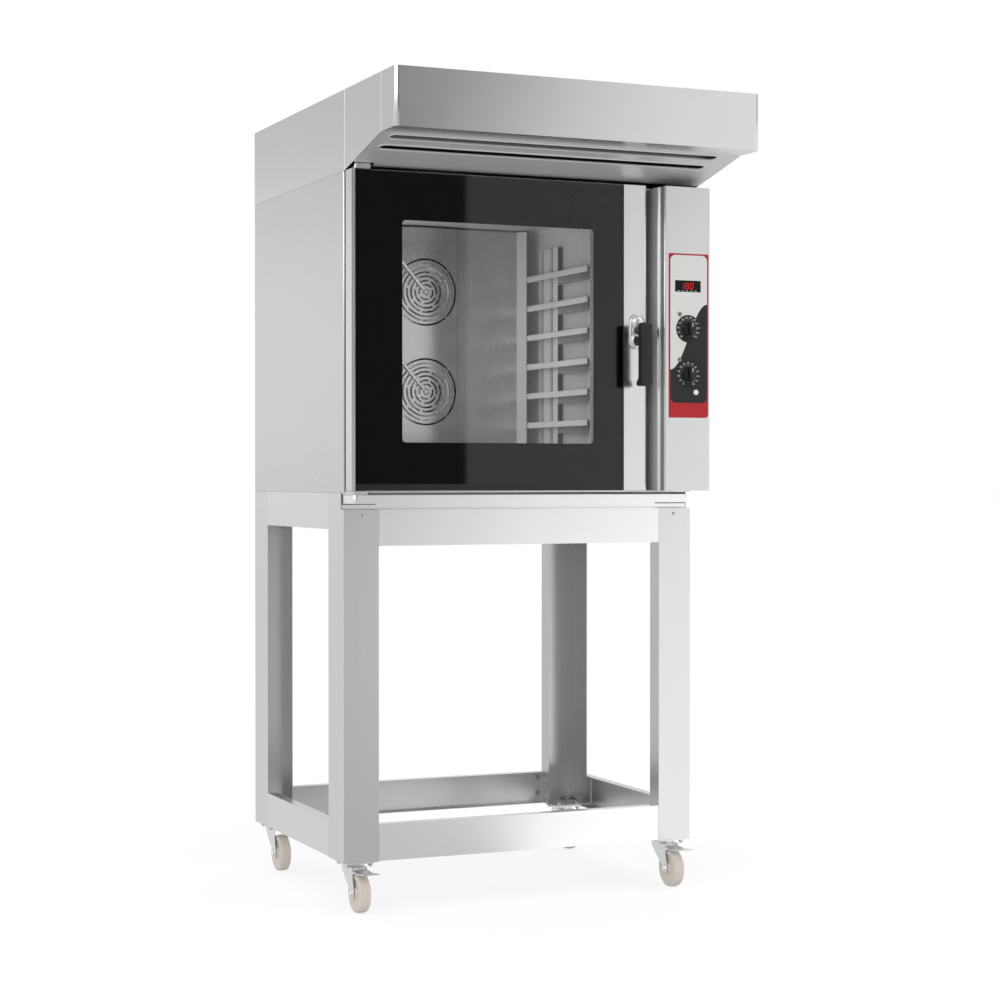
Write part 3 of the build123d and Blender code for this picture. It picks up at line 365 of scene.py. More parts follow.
MATERIALS = {
    "panel_x": brushed_steel("steel_grain_across", STEEL_TONE, ALONG_X, 0.22),
    "panel_y": brushed_steel("steel_grain_depth", SIDE_SHADED_TONE, ALONG_Y, 0.26, strength=0.05),
    "panel_z": brushed_steel("steel_grain_upright", STEEL_TONE, ALONG_Z, 0.21),
    "column": brushed_steel("column_steel_upright", STEEL_TONE, ALONG_Z, 0.24, 0.03, 0.8, 0.06),
    "hood": brushed_steel("hood_steel_grain", (0.66, 0.66, 0.662), ALONG_X, 0.17, seams=(-258, -9)),
    "hood_under": brushed_steel("hood_slope_sheet", (0.68, 0.68, 0.68), ALONG_X, 0.42, 0.04, 0.5),
    "hood_inside": brushed_steel("hood_inside_sheet", (0.3, 0.3, 0.3), ALONG_X, 0.5, 0.04, 0.3),
    "fold": brushed_steel("column_fold_sheet", (0.55, 0.55, 0.55), ALONG_Z, 0.42, 0.02, 0.25),
    # Dark sheet painted as shade: the shadow below the ledges and the shade in the rack's grooves
    "rack_shade": brushed_steel("rack_painted_shade_sheet", (0.22, 0.22, 0.22), ALONG_Y, 0.45, 0.05, 0.4),
    "stand_z": brushed_steel("stand_steel_upright", STAND_TONE, ALONG_Z, 0.25, inside=INNER_SHADE_TONE),
    "stand_x": brushed_steel("stand_steel_across", FRONT_RAIL_LIT_TONE, ALONG_X, 0.25, inside=INNER_SHADE_TONE),
    "stand_y": brushed_steel("stand_steel_depth", SIDE_RAIL_SHADED_TONE, ALONG_Y, 0.25, inside=INNER_SHADE_TONE),
    "cavity": brushed_steel("cavity_steel_sheet", CAVITY_TONE, ALONG_Z, 0.6, 0.02, 0.35, 0.03),
    "fan_wall": brushed_steel(
        "fan_wall_pressed_sheet", (0.46, 0.46, 0.46), (1, 1, 0.05), 0.26, 0.006, 0.9, 0.002,
    ),
    "rack": brushed_steel("rack_steel", (0.6, 0.6, 0.6), ALONG_Y, 0.33, 0.03, 0.35, 0.03),
    "satin": painted("satin_chrome", (0.82, 0.82, 0.83), 0.3, 0.02, 0.7, 60, 0.01),
    "fan": brushed_steel("fan_steel_sheet", (0.75, 0.75, 0.75), ALONG_Z, 0.3, 0.08, 0.7),
    "zinc": brushed_steel("zinc_plate", (0.78, 0.78, 0.79), (1, 1, 1), 0.3),
    "bolt": brushed_steel("bolt_steel_turned", (0.5, 0.5, 0.5), (1, 1, 1), 0.3),
    "nylon": painted("castor_nylon_moulded", (0.74, 0.68, 0.61), 0.5),
    "motor": painted("motor_paint_coat", (0.03, 0.03, 0.033), 0.4),
    "element": painted("heater_sheath", (0.06, 0.058, 0.055), 0.6, 0.3, 0.6),
    "seal": painted("seal_silicone", (0.012, 0.012, 0.012), 0.6),
    "film_red": painted("overlay_film_red", (0.485, 0.03, 0.037), 0.32, 0.04, 0, 700, 0.04, 1.25),
    "film_light": painted("overlay_film_light", (0.77, 0.77, 0.76), 0.32, 0.02, 0, 700, 0.04, 1.25),
    "film_dark": painted("overlay_film_dark", (0.03, 0.03, 0.03), 0.34, 0.05, 0, 700, 0.04, 1.25),
    "film_disc": painted("overlay_film_disc", (0.022, 0.022, 0.023), 0.34, 0.05, 0, 700, 0.04, 1.25),
    "film_white": painted("overlay_film_white", (0.8, 0.8, 0.8), 0.34, 0.02, 0, 700, 0.02, 1.25),
    "display": painted("display_lens", (0.006, 0.004, 0.004), 0.12, 0.1, 0, 100, 0.01, 1.25),
    "digits": glowing("display_digits", (1.0, 0.04, 0.03), 0.9),
    "plastic": painted("black_plastic_moulded", (0.0065, 0.0065, 0.007), 0.36, 0.15, 0, 900, 0.15),
    "grip": painted("grip_plastic_satin", (0.022, 0.022, 0.02), 0.42, 0.1, 0, 1200, 0.2, 1.35),
    "white": painted("white_plastic_cap", (0.85, 0.85, 0.85), 0.25),
    "glass": thin_glass("door_glass_clear", (0.93, 0.93, 0.93), 1.285),
    "lamp": thin_glass("lamp_glass_clear", (0.95, 0.95, 0.92), 1.45),
    "print": black_print("door_glass_print"),
}


def rails(*sides):
    """Names of the stand's top and bottom rails on the given sides."""
    return [f"stand_{row}_rail_{side}" for row in ("top", "bottom") for side in sides]


NODE_LOOKS = {
    "panel_x": ["oven_base_panel", "oven_top_panel", "hinge_brackets"],
    "panel_y": ["oven_left_panel", "oven_right_panel"],
    "panel_z": ["oven_back_panel", "oven_front_frame", "door_frame", "latch_keeper"],
    "column": ["control_box"],
    "hood": ["hood_shell", "hood_fascia", "hood_exhaust_collar"],
    "hood_under": ["hood_baffle"],
    "stand_z": [f"stand_leg_{corner}" for corner in CASTORS],
    "stand_x": [*rails("front", "rear"), "drip_tray"],
    "stand_y": rails("left", "right"),
    "cavity": ["cavity_liner", "fan_baffle_panel"],
    "fan_wall": ["water_pipes"],
    "fan": ["fan_impeller_upper", "fan_impeller_lower"],
    "zinc": [
        "castor_top_plates", "brake_pedal_front_left", "brake_pedal_front_right",
        *(f"castor_fork_{corner}" for corner in CASTORS),
    ],
    "bolt": ["latch_tongue"],
    "satin": ["handle_rose"],
    "nylon": [f"castor_wheel_{corner}" for corner in CASTORS],
    "motor": ["fan_motors"],
    "element": ["heating_elements"],
    "seal": ["door_gasket"],
    "film_red": ["control_overlay"],
    "display": ["display_window"],
    "plastic": ["temperature_knob", "timer_knob", "handle_lever"],
    "white": ["light_button"],
    "glass": ["door_glass_inner", "door_glass_outer"],
    "lamp": ["cavity_lamp"],
}


def dress_nodes():
    """Gives every shown CAD node its material and softened edges."""
    for look, names in NODE_LOOKS.items():
        for name in names:
            obj = NODES[name]
            obj.data.materials.clear()
            obj.data.materials.append(MATERIALS[look])
            weld = obj.modifiers.new("weld", "WELD")
            weld.merge_threshold = WELD_REACH
            bevel = obj.modifiers.new("bevel", "BEVEL")
            bevel.width = EDGE_WIDTH
            bevel.segments = 2
            bevel.limit_method = "ANGLE"
            bevel.angle_limit = EDGE_ANGLE
            bevel.loop_slide = False


def make_piece(name, bm, looks, body, stands_for=(), sharp=35):
    """Turns collected faces into an object that rides on a body."""
    bmesh.ops.remove_doubles(bm, verts=bm.verts, dist=0.000005)
    bmesh.ops.recalc_face_normals(bm, faces=bm.faces)
    mesh = bpy.data.meshes.new(name)
    bm.to_mesh(mesh)
    bm.free()
    for look in looks:
        mesh.materials.append(MATERIALS[look])
    mesh.shade_smooth()
    mesh.set_sharp_from_angle(angle=math.radians(sharp))
    obj = link(bpy.data.objects.new(name, mesh))
    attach(obj, body)
    if stands_for:
        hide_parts(*stands_for)
    return obj


def bevelled(obj, width, segments=3):
    """Rounds the sharp edges of a made piece; the width is in millimetres."""
    bevel = obj.modifiers.new("bevel", "BEVEL")
    bevel.width = width / 1000
    bevel.segments = segments
    bevel.limit_method = "ANGLE"
    bevel.angle_limit = EDGE_ANGLE
    return obj


def axis_point(axis, along, across, up):
    """Point at a distance along an axis and two distances square to it."""
    if axis == AXIS_X:
        return along, across, up
    if axis == AXIS_Y:
        return across, along, up
    return across, up, along


def lathe(bm, profile, centre, axis, steps=48, look=0):
    """Turned form; the profile is (distance along the axis, radius), the centre in millimetres."""
    rings = []
    for along, radius in profile:
        if radius == 0:
            offset = axis_point(axis, along, 0, 0)
            rings.append([bm.verts.new(shift(*(c + o for c, o in zip(centre, offset))))])
            continue
        ring = []
        for i in range(steps):
            a = 2 * math.pi * i / steps
            offset = axis_point(axis, along, radius * math.cos(a), radius * math.sin(a))
            ring.append(bm.verts.new(shift(*(c + o for c, o in zip(centre, offset)))))
        rings.append(ring)
    for near, far in zip(rings, rings[1:]):
        for i in range(steps):
            j = (i + 1) % steps
            corners = [near[i % len(near)], near[j % len(near)], far[j % len(far)], far[i % len(far)]]
            face = bm.faces.new(list(dict.fromkeys(corners)))
            face.material_index = look


def loft(bm, sections, look=0, closed=True):
    """Skin over sections with equal numbers of points; the end sections are filled."""
    rings = [[bm.verts.new(shift(*p)) for p in section] for section in sections]
    count = len(rings[0])
    last = count if closed else count - 1
    for near, far in zip(rings, rings[1:]):
        for i in range(last):
            j = (i + 1) % count
            bm.faces.new((near[i], near[j], far[j], far[i])).material_index = look
    if closed:
        for ring in (rings[0], rings[-1]):
            bm.faces.new(ring).material_index = look


def closed_tube(bm, rings):
    """Skin of a tube that comes back to its start; each ring is one turn round the tube."""
    for near, far in zip(rings, rings[1:] + rings[:1]):
        for k in range(len(near)):
            m = (k + 1) % len(near)
            bm.faces.new((near[k], near[m], far[m], far[k]))


def plate(bm, outline, y0, y1, look=0):
    """Plate facing the viewer; the outline is (x, z) points."""
    loft(bm, [[(x, y, z) for x, z in outline] for y in (y0, y1)], look)


def film(bm, outline, y, look=0):
    """Printed area with no thickness; the outline is (x, z) points."""
    face = bm.faces.new([bm.verts.new(shift(x, y, z)) for x, z in outline])
    face.material_index = look


def box_outline(left, right, low, high):
    return [(left, low), (right, low), (right, high), (left, high)]


def rounded_outline(x0, x1, z0, z1, radius, steps=8):
    """Points round a rounded rectangle in x and z."""
    points = []
    left, right = x0 + radius, x1 - radius
    low, high = z0 + radius, z1 - radius
    for cx, cz, start in ((right, high, 0), (left, high, 90), (left, low, 180), (right, low, 270)):
        for i in range(steps + 1):
            a = math.radians(start + 90 * i / steps)
            points.append((cx + radius * math.cos(a), cz + radius * math.sin(a)))
    return points


def door_print():
    """Black print on the back of the outer glass, open at the window."""
    outer = box_outline(*GLASS_EDGES)
    inner = rounded_outline(*WINDOW_EDGES, WINDOW_RADIUS)
    bm = bmesh.new()
    loops = []
    for outline in (outer, inner):
        verts = [bm.verts.new(shift(x, PRINT_DEPTH, z)) for x, z in outline]
        loops += [bm.edges.new((verts[i], verts[(i + 1) % len(verts)])) for i in range(len(verts))]
    bmesh.ops.triangle_fill(bm, edges=loops, use_beauty=True)
    make_piece("door_glass_print_border", bm, ["print"], "door")


def fan_wall_rise(dx):
    """How far the fan wall stands in front of its plane, at dx from its middle."""
    side = abs(dx)
    if side <= PRESSING_HALF:
        return PRESSING_EDGE + PRESSING_BOW * (1 - (side / PRESSING_HALF) ** 2)
    if side <= SHOULDER_HALF:
        return PRESSING_EDGE * (SHOULDER_HALF - side) / (SHOULDER_HALF - PRESSING_HALF)
    if side <= WING_FOLD:
        return 0
    return WING_FORWARD * (side - WING_FOLD) / (WALL_HALF - WING_FOLD)


def wall_quads(bm, places, levels, look=0):
    """Grid of wall faces over x offsets from the middle and heights."""
    line = [(CAVITY_CENTRE + dx, WALL_DEPTH - fan_wall_rise(dx)) for dx in places]
    rows = [[bm.verts.new(shift(x, y, z)) for x, y in line] for z in levels]
    for low, high in zip(rows, rows[1:]):
        for i in range(len(places) - 1):
            bm.faces.new((low[i], low[i + 1], high[i + 1], high[i])).material_index = look


def is_bridge(ring, step):
    """Whether a step of a ring's slot is one of its staggered bridges."""
    pitch = GUARD_STEPS // BRIDGE_COUNT
    width = max(1, round(BRIDGE_WIDTH / (2 * math.pi * GUARD_RINGS[ring] / GUARD_STEPS)))
    start = BRIDGE_START + (ring % 2) * pitch // 2 + (ring // 2) * BRIDGE_SHIFT
    return (step - start) % pitch < width


def fan_guard(bm, z):
    """Pressed guard with seven rings of slots, filled out to a square."""
    radii = list(GUARD_BOSS)
    slots = {}
    for ring, radius in enumerate(GUARD_RINGS):
        slots[len(radii)] = ring
        radii += [radius - SLOT_HALF, radius + SLOT_HALF]
    radii += [GUARD_RIM, 0]
    angles = [2 * math.pi * i / GUARD_STEPS for i in range(GUARD_STEPS)]
    loops = []
    for index, radius in enumerate(radii):
        loop = []
        for a in angles:
            reach = radius
            if index == len(radii) - 1:
                reach = PRESSING_HALF / max(abs(math.cos(a)), abs(math.sin(a)))
            dx = reach * math.cos(a)
            boss = BOSS_RISE if index in (0, 1) else 0
            y = WALL_DEPTH - fan_wall_rise(dx) - boss
            loop.append(bm.verts.new(shift(CAVITY_CENTRE + dx, y, z + reach * math.sin(a))))
        loops.append(loop)
    for index in range(len(radii) - 1):
        for i in range(GUARD_STEPS):
            if index in slots and not is_bridge(slots[index], i):
                continue
            j = (i + 1) % GUARD_STEPS
            corners = (loops[index][i], loops[index][j], loops[index + 1][j], loops[index + 1][i])
            if index == 0:
                bm.faces.new((loops[0][i], corners[2], corners[3]))
            else:
                bm.faces.new(corners)


def wall_normal(x):
    """Outward direction of the fan wall at an x in metres."""
    dx = (x - LEFT) * 1000 - CAVITY_CENTRE
    slope = fan_wall_rise(dx + 0.5) - fan_wall_rise(dx - 0.5)
    if PRESSING_HALF - 1 < abs(dx) < PRESSING_HALF + 1:
        slope = -2 * PRESSING_BOW * dx / PRESSING_HALF ** 2
    return Vector((-slope, -1, 0)).normalized()


def smooth_wall(wall):
    """Gives the broad faces of the fan wall the directions of its true curve."""
    mesh = wall.data
    normals = []
    for face in mesh.polygons:
        for index in face.loop_indices:
            corner = mesh.vertices[mesh.loops[index].vertex_index].co
            in_pressing = abs((face.center.x - LEFT) * 1000 - CAVITY_CENTRE) < PRESSING_HALF
            broad = in_pressing and abs(face.normal.y) > 0.9
            way = -1 if face.normal.y > 0 else 1
            normals.append(wall_normal(corner.x) * way if broad else face.normal.copy())
    mesh.normals_split_custom_set(normals)


def fan_wall():
    """Fan wall: curved middle pressing with two slotted guards, shoulders and bent wings."""
    bm = bmesh.new()
    lower, upper = FAN_HEIGHTS["lower"], FAN_HEIGHTS["upper"]
    eighth = GUARD_STEPS // 8
    half = PRESSING_HALF
    steps = [-half * math.tan(math.pi / 4 * i / eighth) for i in range(eighth, -eighth - 1, -1)]
    low, high = WALL_BOTTOM, WALL_TOP
    for band in ((low, lower - half), (lower + half, upper - half), (upper + half, high)):
        wall_quads(bm, steps, band)
    levels = [low] + [lower + step for step in steps] + [upper + step for step in steps] + [high]
    for side in (-1, 1):
        wall_quads(bm, [side * d for d in (half, SHOULDER_HALF, WING_FOLD)], levels)
        wall_quads(bm, [side * d for d in (WING_FOLD, WING_FOLD + 1, WALL_HALF)], levels, 1)
    for z in (lower, upper):
        fan_guard(bm, z)
    bmesh.ops.remove_doubles(bm, verts=bm.verts, dist=0.00001)
    bmesh.ops.recalc_face_normals(bm, faces=bm.faces)
    bmesh.ops.solidify(bm, geom=bm.faces, thickness=WALL_SHEET / 1000)
    looks = ["fan_wall", "cavity"]
    stands_for = ["fan_baffle_panel"]
    wall = make_piece("fan_wall_with_guards", bm, looks, "oven_on_stand", stands_for, WALL_SHARP)
    smooth_wall(wall)


def fan_wheel(level, z):
    """Radial fan wheel: back disc, curved blades, front ring, hub and shaft."""
    bm = bmesh.new()
    centre = (CAVITY_CENTRE, 0, z)
    disc = [(568, 6), (568, 82), (566.4, 84), (566, 82), (566, 20), (558, 15), (548, 12), (547, 0)]
    ring = [(512, 60), (508, 72), (508, 84), (509.4, 84), (509.4, 72), (513.4, 60), (512, 60)]
    shaft = [(560, 6), (650, 6), (650, 0)]
    lathe(bm, disc, centre, AXIS_Y)
    lathe(bm, ring, centre, AXIS_Y)
    lathe(bm, shaft, centre, AXIS_Y, 24)
    for blade in range(FAN_BLADES):
        start = 2 * math.pi * blade / FAN_BLADES
        line = []
        for i in range(6):
            radius = 48 + 34 * i / 5
            a = start + 0.5 * (i / 5) ** 1.5
            line.append((radius * math.cos(a), radius * math.sin(a)))
        sections = [[(CAVITY_CENTRE + x, y, z + h) for x, h in line] for y in (509, 566)]
        loft(bm, sections, closed=False)
    wheel = make_piece(f"fan_wheel_{level}", bm, ["fan"], f"fan_{level}", [f"fan_impeller_{level}"])
    sheet = wheel.modifiers.new("sheet", "SOLIDIFY")
    sheet.thickness = 0.0006
    sheet.offset = 0


def slab(bm, side, profile, near, far, look=0):
    """Bar along the depth of the cavity; the profile is (distance from its middle, height) points."""
    places = [[(CAVITY_CENTRE + side * d, y, z) for d, z in profile] for y in (near, far)]
    loft(bm, places, look)


def tray_rack(name, side):
    """Rack: front upright, grooved channel on the wall and six ledges, with dark sheet painted as the
    shade in the channel's grooves and as the shadow below each ledge.
    """
    bm = bmesh.new()
    bottom, top = RACK_BOTTOM, RACK_TOP
    edge, wall = RACK_EDGE, RACK_WALL
    upright = [(edge, bottom), (edge, top), (edge + 2, top), (edge + 2, bottom)]
    slab(bm, side, upright, LEDGE_FRONT, 137)
    outline = [
        (326, wall), (326, edge), (356, edge), (358, wall - 3), (385, wall - 3), (387, edge + 2),
        (421, edge + 2), (423, wall - 3), (446, wall - 3), (448, edge), (448, wall),
    ]
    for first, second in zip(outline, outline[1:]):
        # The recessed grooves of the channel get the dark sheet as painted shade
        look = 1 if first[1] == second[1] == wall - 3 else 0
        corners = [first, second, (second[0], second[1] + 1.2), (first[0], first[1] + 1.2)]
        bars = [[(CAVITY_CENTRE + side * d, y, z) for y, d in corners] for z in (bottom, top)]
        loft(bm, bars, look)
    for i in range(LEDGES):
        z = STAND_TOP + FIRST_LEDGE + LEDGE_PITCH * i
        ledge = [
            (edge + 1, z + 0.75), (290.5, z + 0.75), (289, z + 0.2), (288.5, z - 1), (288.5, z - 14.4),
            (289.2, z - 15), (290, z - 14.4), (290, z - 1.6), (291, z - 0.75), (edge + 1, z - 0.75),
        ]
        slab(bm, side, ledge, LEDGE_FRONT, LEDGE_REAR)
        # Painted shadow: a dark plate and a thin flange below each ledge stand for the ledge's shadow on
        # the wall
        rack_shade = [(edge, z - 1), (edge, z - 31), (edge + 2, z - 31), (edge + 2, z - 1)]
        slab(bm, side, rack_shade, 100, 326, 1)
        shadow_shelf = [(296, z - 29.5), (296, z - 31), (edge, z - 31), (edge, z - 29.5)]
        slab(bm, side, shadow_shelf, 104, 250, 1)
    for z in (bottom + 40, top - 40):
        for inner, near in ((edge + 1, 111), (wall, 346)):
            peg = [(inner, z - 5), (inner, z + 5), (PEG_END, z + 5), (PEG_END, z - 5)]
            slab(bm, side, peg, near, near + 10)
    make_piece(f"{name}_frame", bm, ["rack", "rack_shade"], name, [name], 30)


def water_pipes():
    """Thin steel pipes that bring water to the middle of each fan."""
    for level, z in FAN_HEIGHTS.items():
        route = [
            (398, 480, z + 6), (390, 479, z + 14), (340, 479, z + 72),
            (290, 479, z + 131), (282, 482, z + 141), (282, 499, z + 142),
        ]
        curve = bpy.data.curves.new(f"water_pipe_{level}", "CURVE")
        curve.dimensions = "3D"
        curve.bevel_depth = 0.0035
        curve.bevel_resolution = 4
        curve.use_fill_caps = True
        spline = curve.splines.new("NURBS")
        spline.points.add(len(route) - 1)
        for point, place in zip(spline.points, route):
            point.co = (*shift(*place), 1)
        spline.order_u = 3
        spline.use_endpoint_u = True
        curve.materials.append(MATERIALS["rack"])
        pipe = link(bpy.data.objects.new(f"water_pipe_{level}", curve))
        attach(pipe, "oven_on_stand")
        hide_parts("water_pipes")


def castor_wheel(corner, x, y):
    """Moulded nylon wheel with a crowned tread, dished sides and a hub."""
    bm = bmesh.new()
    half = [
        (15.5, 6), (15.5, 12.5), (14.5, 13.5), (11.5, 14.5), (11.0, 30), (12.0, 33), (13.8, 35),
        (14.6, 38), (13.6, 43.5), (11.5, 46), (8, 46.8), (3, WHEEL_RADIUS),
    ]
    profile = [(-a, r) for a, r in half] + [(a, r) for a, r in reversed(half)]
    profile.append(profile[0])
    lathe(bm, profile, (x, y - CASTOR_TRAIL, WHEEL_RADIUS), AXIS_X, 64)
    make_piece(f"castor_tyre_{corner}", bm, ["nylon"], f"wheel_{corner}", [f"castor_wheel_{corner}"])


def hexagon(bm, centre, axis, low, high, radius, look=0):
    """Hexagon bolt head or nut with its rounded top."""
    profile = [(low, 0), (low, radius), (high - 0.6, radius), (high, radius * 0.88), (high, 0)]
    lathe(bm, profile, centre, axis, 6, look)


def castor_fasteners():
    """Axle bolts on the forks, and the bolts that hold the castor plates to the feet."""
    for corner, (x, y) in CASTORS.items():
        bm = bmesh.new()
        for side in (-1, 1):
            centre = (x, y - CASTOR_TRAIL, WHEEL_RADIUS)
            low, high = sorted((side * 20, side * 22))
            washer = [(low, 0), (low, 9), (high, 9), (high, 0)]
            head = [(22, 0), (22, 7.5), (25.5, 7.5), (26.3, 6.4), (26.3, 0)]
            lathe(bm, washer, centre, AXIS_X, 32)
            lathe(bm, [(side * along, radius) for along, radius in head], centre, AXIS_X, 6)
        make_piece(f"castor_axle_bolt_{corner}", bm, ["zinc"], f"castor_{corner}")
        bm = bmesh.new()
        washer = [(125, 0), (125, 8.5), (126.2, 8.5), (126.2, 0)]
        nut = [(117.8, 0), (117.8, 6.5), (113.4, 6.5), (112.8, 5.6), (112.8, 0)]
        thread = [(113, 0), (113, 3.8), (109.6, 3.8), (109, 3.2), (109, 0)]
        for dx in (-28, 28):
            for dy in (-34, 34):
                centre = (x + dx, y + dy, 0)
                lathe(bm, washer, centre, AXIS_Z, 24)
                hexagon(bm, centre, AXIS_Z, 126.2, 131, 6.5)
                lathe(bm, nut, centre, AXIS_Z, 6)
                lathe(bm, thread, centre, AXIS_Z, 20)
        make_piece(f"castor_plate_bolts_{corner}", bm, ["bolt"], "oven_on_stand")


def stand_fasteners():
    """Bolts through the rails' end tabs and the two small screws at the top of the front legs."""
    bm = bmesh.new()
    for z0 in (123, STAND_TOP - 89):
        for z in (z0 + 22, z0 + 67):
            for y in (32, 716 - 32):
                front_top = z0 > 200 and y < 100
                height = z - 40 if front_top else z
                for x, way in ((92.2, 1), (847.8, -1)):
                    head = [(0, 0), (0, 6.5), (way * 4.2, 6.5), (way * 4.8, 5.6), (way * 4.8, 0)]
                    washer = [(0, 0), (0, 9), (way * 1.2, 9), (way * 1.2, 0)]
                    lathe(bm, head, (x, y, height), AXIS_X, 6)
                    lathe(bm, washer, (x, y, height), AXIS_X, 24)
    make_piece("stand_rail_bolts", bm, ["bolt"], "oven_on_stand")
    bm = bmesh.new()
    for x in (48, 940 - 48):
        head = [(0, 0), (0, 4.2), (-1.2, 4.0), (-2.0, 2.8), (-2.2, 1.2), (-1.2, 1.0), (-1.2, 0)]
        lathe(bm, head, (x, 0, 957), AXIS_Y, 24)
    make_piece("front_leg_screws", bm, ["bolt"], "oven_on_stand")


def stadium(cx, cz, half_width, above, below, steps=12):
    """Outline with half-round ends about a middle point."""
    points = []
    for start, middle in ((0, cz + above - half_width), (math.pi, cz - below + half_width)):
        for i in range(steps + 1):
            a = start + math.pi * i / steps
            points.append((cx + half_width * math.cos(a), middle + half_width * math.sin(a)))
    return points


def handle_rose():
    """Satin plate with a domed boss above the lever and a ring-shaped eye below it."""
    face = HANDLE_FACE
    bm = bmesh.new()
    plate(bm, stadium(HANDLE_X, HANDLE_Z, 21, 43, 47), face, face - 5)
    bevelled(make_piece("handle_rose_plate", bm, ["satin"], "door", ["handle_rose"]), 2)
    bm = bmesh.new()
    dome = [(face - 4.8, 17.5), (face - 8, 17.2)]
    for i in range(9):
        a = math.pi / 2 * i / 8
        dome.append((face - 8 - 9 * math.sin(a), 16.8 * math.cos(a) if i < 8 else 0))
    collar = [(face - 4.8, 15), (face - 8, 14.4), (face - 8.4, 12)]
    lathe(bm, dome, (HANDLE_X, 0, HANDLE_Z + 22), AXIS_Y, 48)
    lathe(bm, collar, (HANDLE_X, 0, HANDLE_Z), AXIS_Y, 40)
    make_piece("handle_rose_boss", bm, ["satin"], "door", (), 60)
    bm = bmesh.new()
    around, across = 40, 12
    rows = []
    for i in range(around):
        a = 2 * math.pi * i / around
        row = []
        for k in range(across):
            b = 2 * math.pi * k / across
            reach = 1 + 0.24 * math.cos(b)
            x = HANDLE_X - 5 + 11 * reach * math.cos(a)
            z = HANDLE_Z - 25 + 16 * reach * math.sin(a)
            row.append(bm.verts.new(shift(x, face - 8 - 4 * math.sin(b), z)))
        rows.append(row)
    closed_tube(bm, rows)
    make_piece("handle_rose_eye", bm, ["satin"], "door", (), 60)
    # Painted shade: a black plate inside the eye stands for the dark of the hole
    bm = bmesh.new()
    plate(bm, stadium(HANDLE_X - 5, HANDLE_Z - 25, 8, 12.5, 12.5), face - 4.9, face - 6.4)
    make_piece("handle_rose_hole_shade", bm, ["plastic"], "door", (), 40)


def grip_section(z, width, front, back, radius=5, steps=5):
    """Rounded section of the grip at one height."""
    corner = min(radius, width / 2 - 0.1, (back - front) / 2 - 0.1)
    outline = rounded_outline(GRIP_X - width / 2, GRIP_X + width / 2, front, back, corner, steps)
    return [(x, y, z) for x, y in outline]


def handle_lever():
    """Black lever: an upright rounded grip, a toe turned to the door and the neck to the plate."""
    bm = bmesh.new()
    levels = (
        (1276, 20, -126, -98), (1276.8, 25, -128.6, -95.4), (1279, 29, -129.7, -94.2),
        (1282, 30, -130, -94), (1286, 30, -130, -94.4), (1290, 30, -130, -99),
        (1295, 30, -130, -104), (1302, 30, -130, -105.2), (1360, 30, -130, -105.4),
        (1418, 30, -130, -105), (1426, 29.6, -129.6, -104), (1430, 28, -128.4, -104.6),
        (1432.3, 24.6, -126, -106), (1433, 18, -122, -109),
    )
    loft(bm, [grip_section(*level) for level in levels])
    neck = [(-108, 12.5), (-96, 12.5), (-90, 11.5), (-78, 11), (-67, 11), (-66.5, 9)]
    lathe(bm, neck, (HANDLE_X, 0, HANDLE_Z), AXIS_Y, 40)
    make_piece("handle_grip", bm, ["grip"], "door_handle", ["handle_lever"], 50)


def rotary_knob(name, z):
    """Black knob: a low skirt, a drum and a finger bar with a pointer line."""
    bm = bmesh.new()
    back = OVERLAY_FACE - 0.6
    skirt = [
        (0, 0), (0, 20.4), (-1, 21), (-3, 20.8), (-4, 19.6), (-4.6, 18.4), (-11, 17.2), (-12.6, 16),
        (-13, 14), (-13, 0),
    ]
    lathe(bm, skirt, (DIAL_X, back, z), AXIS_Y, 56)
    sections = []
    for depth, width, height in ((-12, 6.6, 16.8), (-20, 5.8, 16.2), (-22.6, 5.0, 15.6), (-24, 3.4, 14)):
        left, right = DIAL_X - width, DIAL_X + width
        outline = rounded_outline(left, right, z - height, z + height, width * 0.6, 4)
        sections.append([(px, back + depth, pz) for px, pz in outline])
    loft(bm, sections)
    film(bm, box_outline(DIAL_X - 0.9, DIAL_X + 0.9, z + 4, z + 13.4), back - 24.05, 1)
    make_piece(f"{name}_cap", bm, ["plastic", "film_white"], name, [name], 40)


def light_button():
    """Round white button with a soft edge."""
    bm = bmesh.new()
    centre = (OVERLAY_LEFT + 76, 0, OVERLAY_BOTTOM + 64)
    face = OVERLAY_FACE
    cap = [(face + 8, 6.8), (face - 2.4, 6.8), (face - 3.2, 6.3), (face - 3.5, 5), (face - 3.5, 0)]
    lathe(bm, cap, centre, AXIS_Y, 40)
    make_piece("light_button_cap", bm, ["white"], "light_button", ["light_button"])


def column_fold():
    """Stepped fold along the control column's left side, from its foot to its top."""
    bm = bmesh.new()
    side = [(805.2, -75), (805.2, -3), (811.2, -2), (811.2, -75)]
    bead = [(811.2, -81.4), (809.4, -80.8), (806.6, -78.4), (805.3, -75), (811.2, -75)]
    for look, line in enumerate((side, bead)):
        loft(bm, [[(x, y, z) for x, y in line] for z in (STAND_TOP + 5, OVEN_TOP - 6)], look)
    make_piece("control_column_fold", bm, ["fold", "panel_z"], "oven_on_stand", (), 30)


def hood_inner_sheet():
    """Filter sheet inside the hood, seen as a grey field through the two slots."""
    bm = bmesh.new()
    line = [(-252, 1850), (-252, 1852), (-60, 1826), (200, 1806), (200, 1804), (-60, 1824)]
    loft(bm, [[(x, y, z) for y, z in line] for x in (8, 932)])
    make_piece("hood_inner_filter", bm, ["hood_inside"], "oven_on_stand", (), 30)


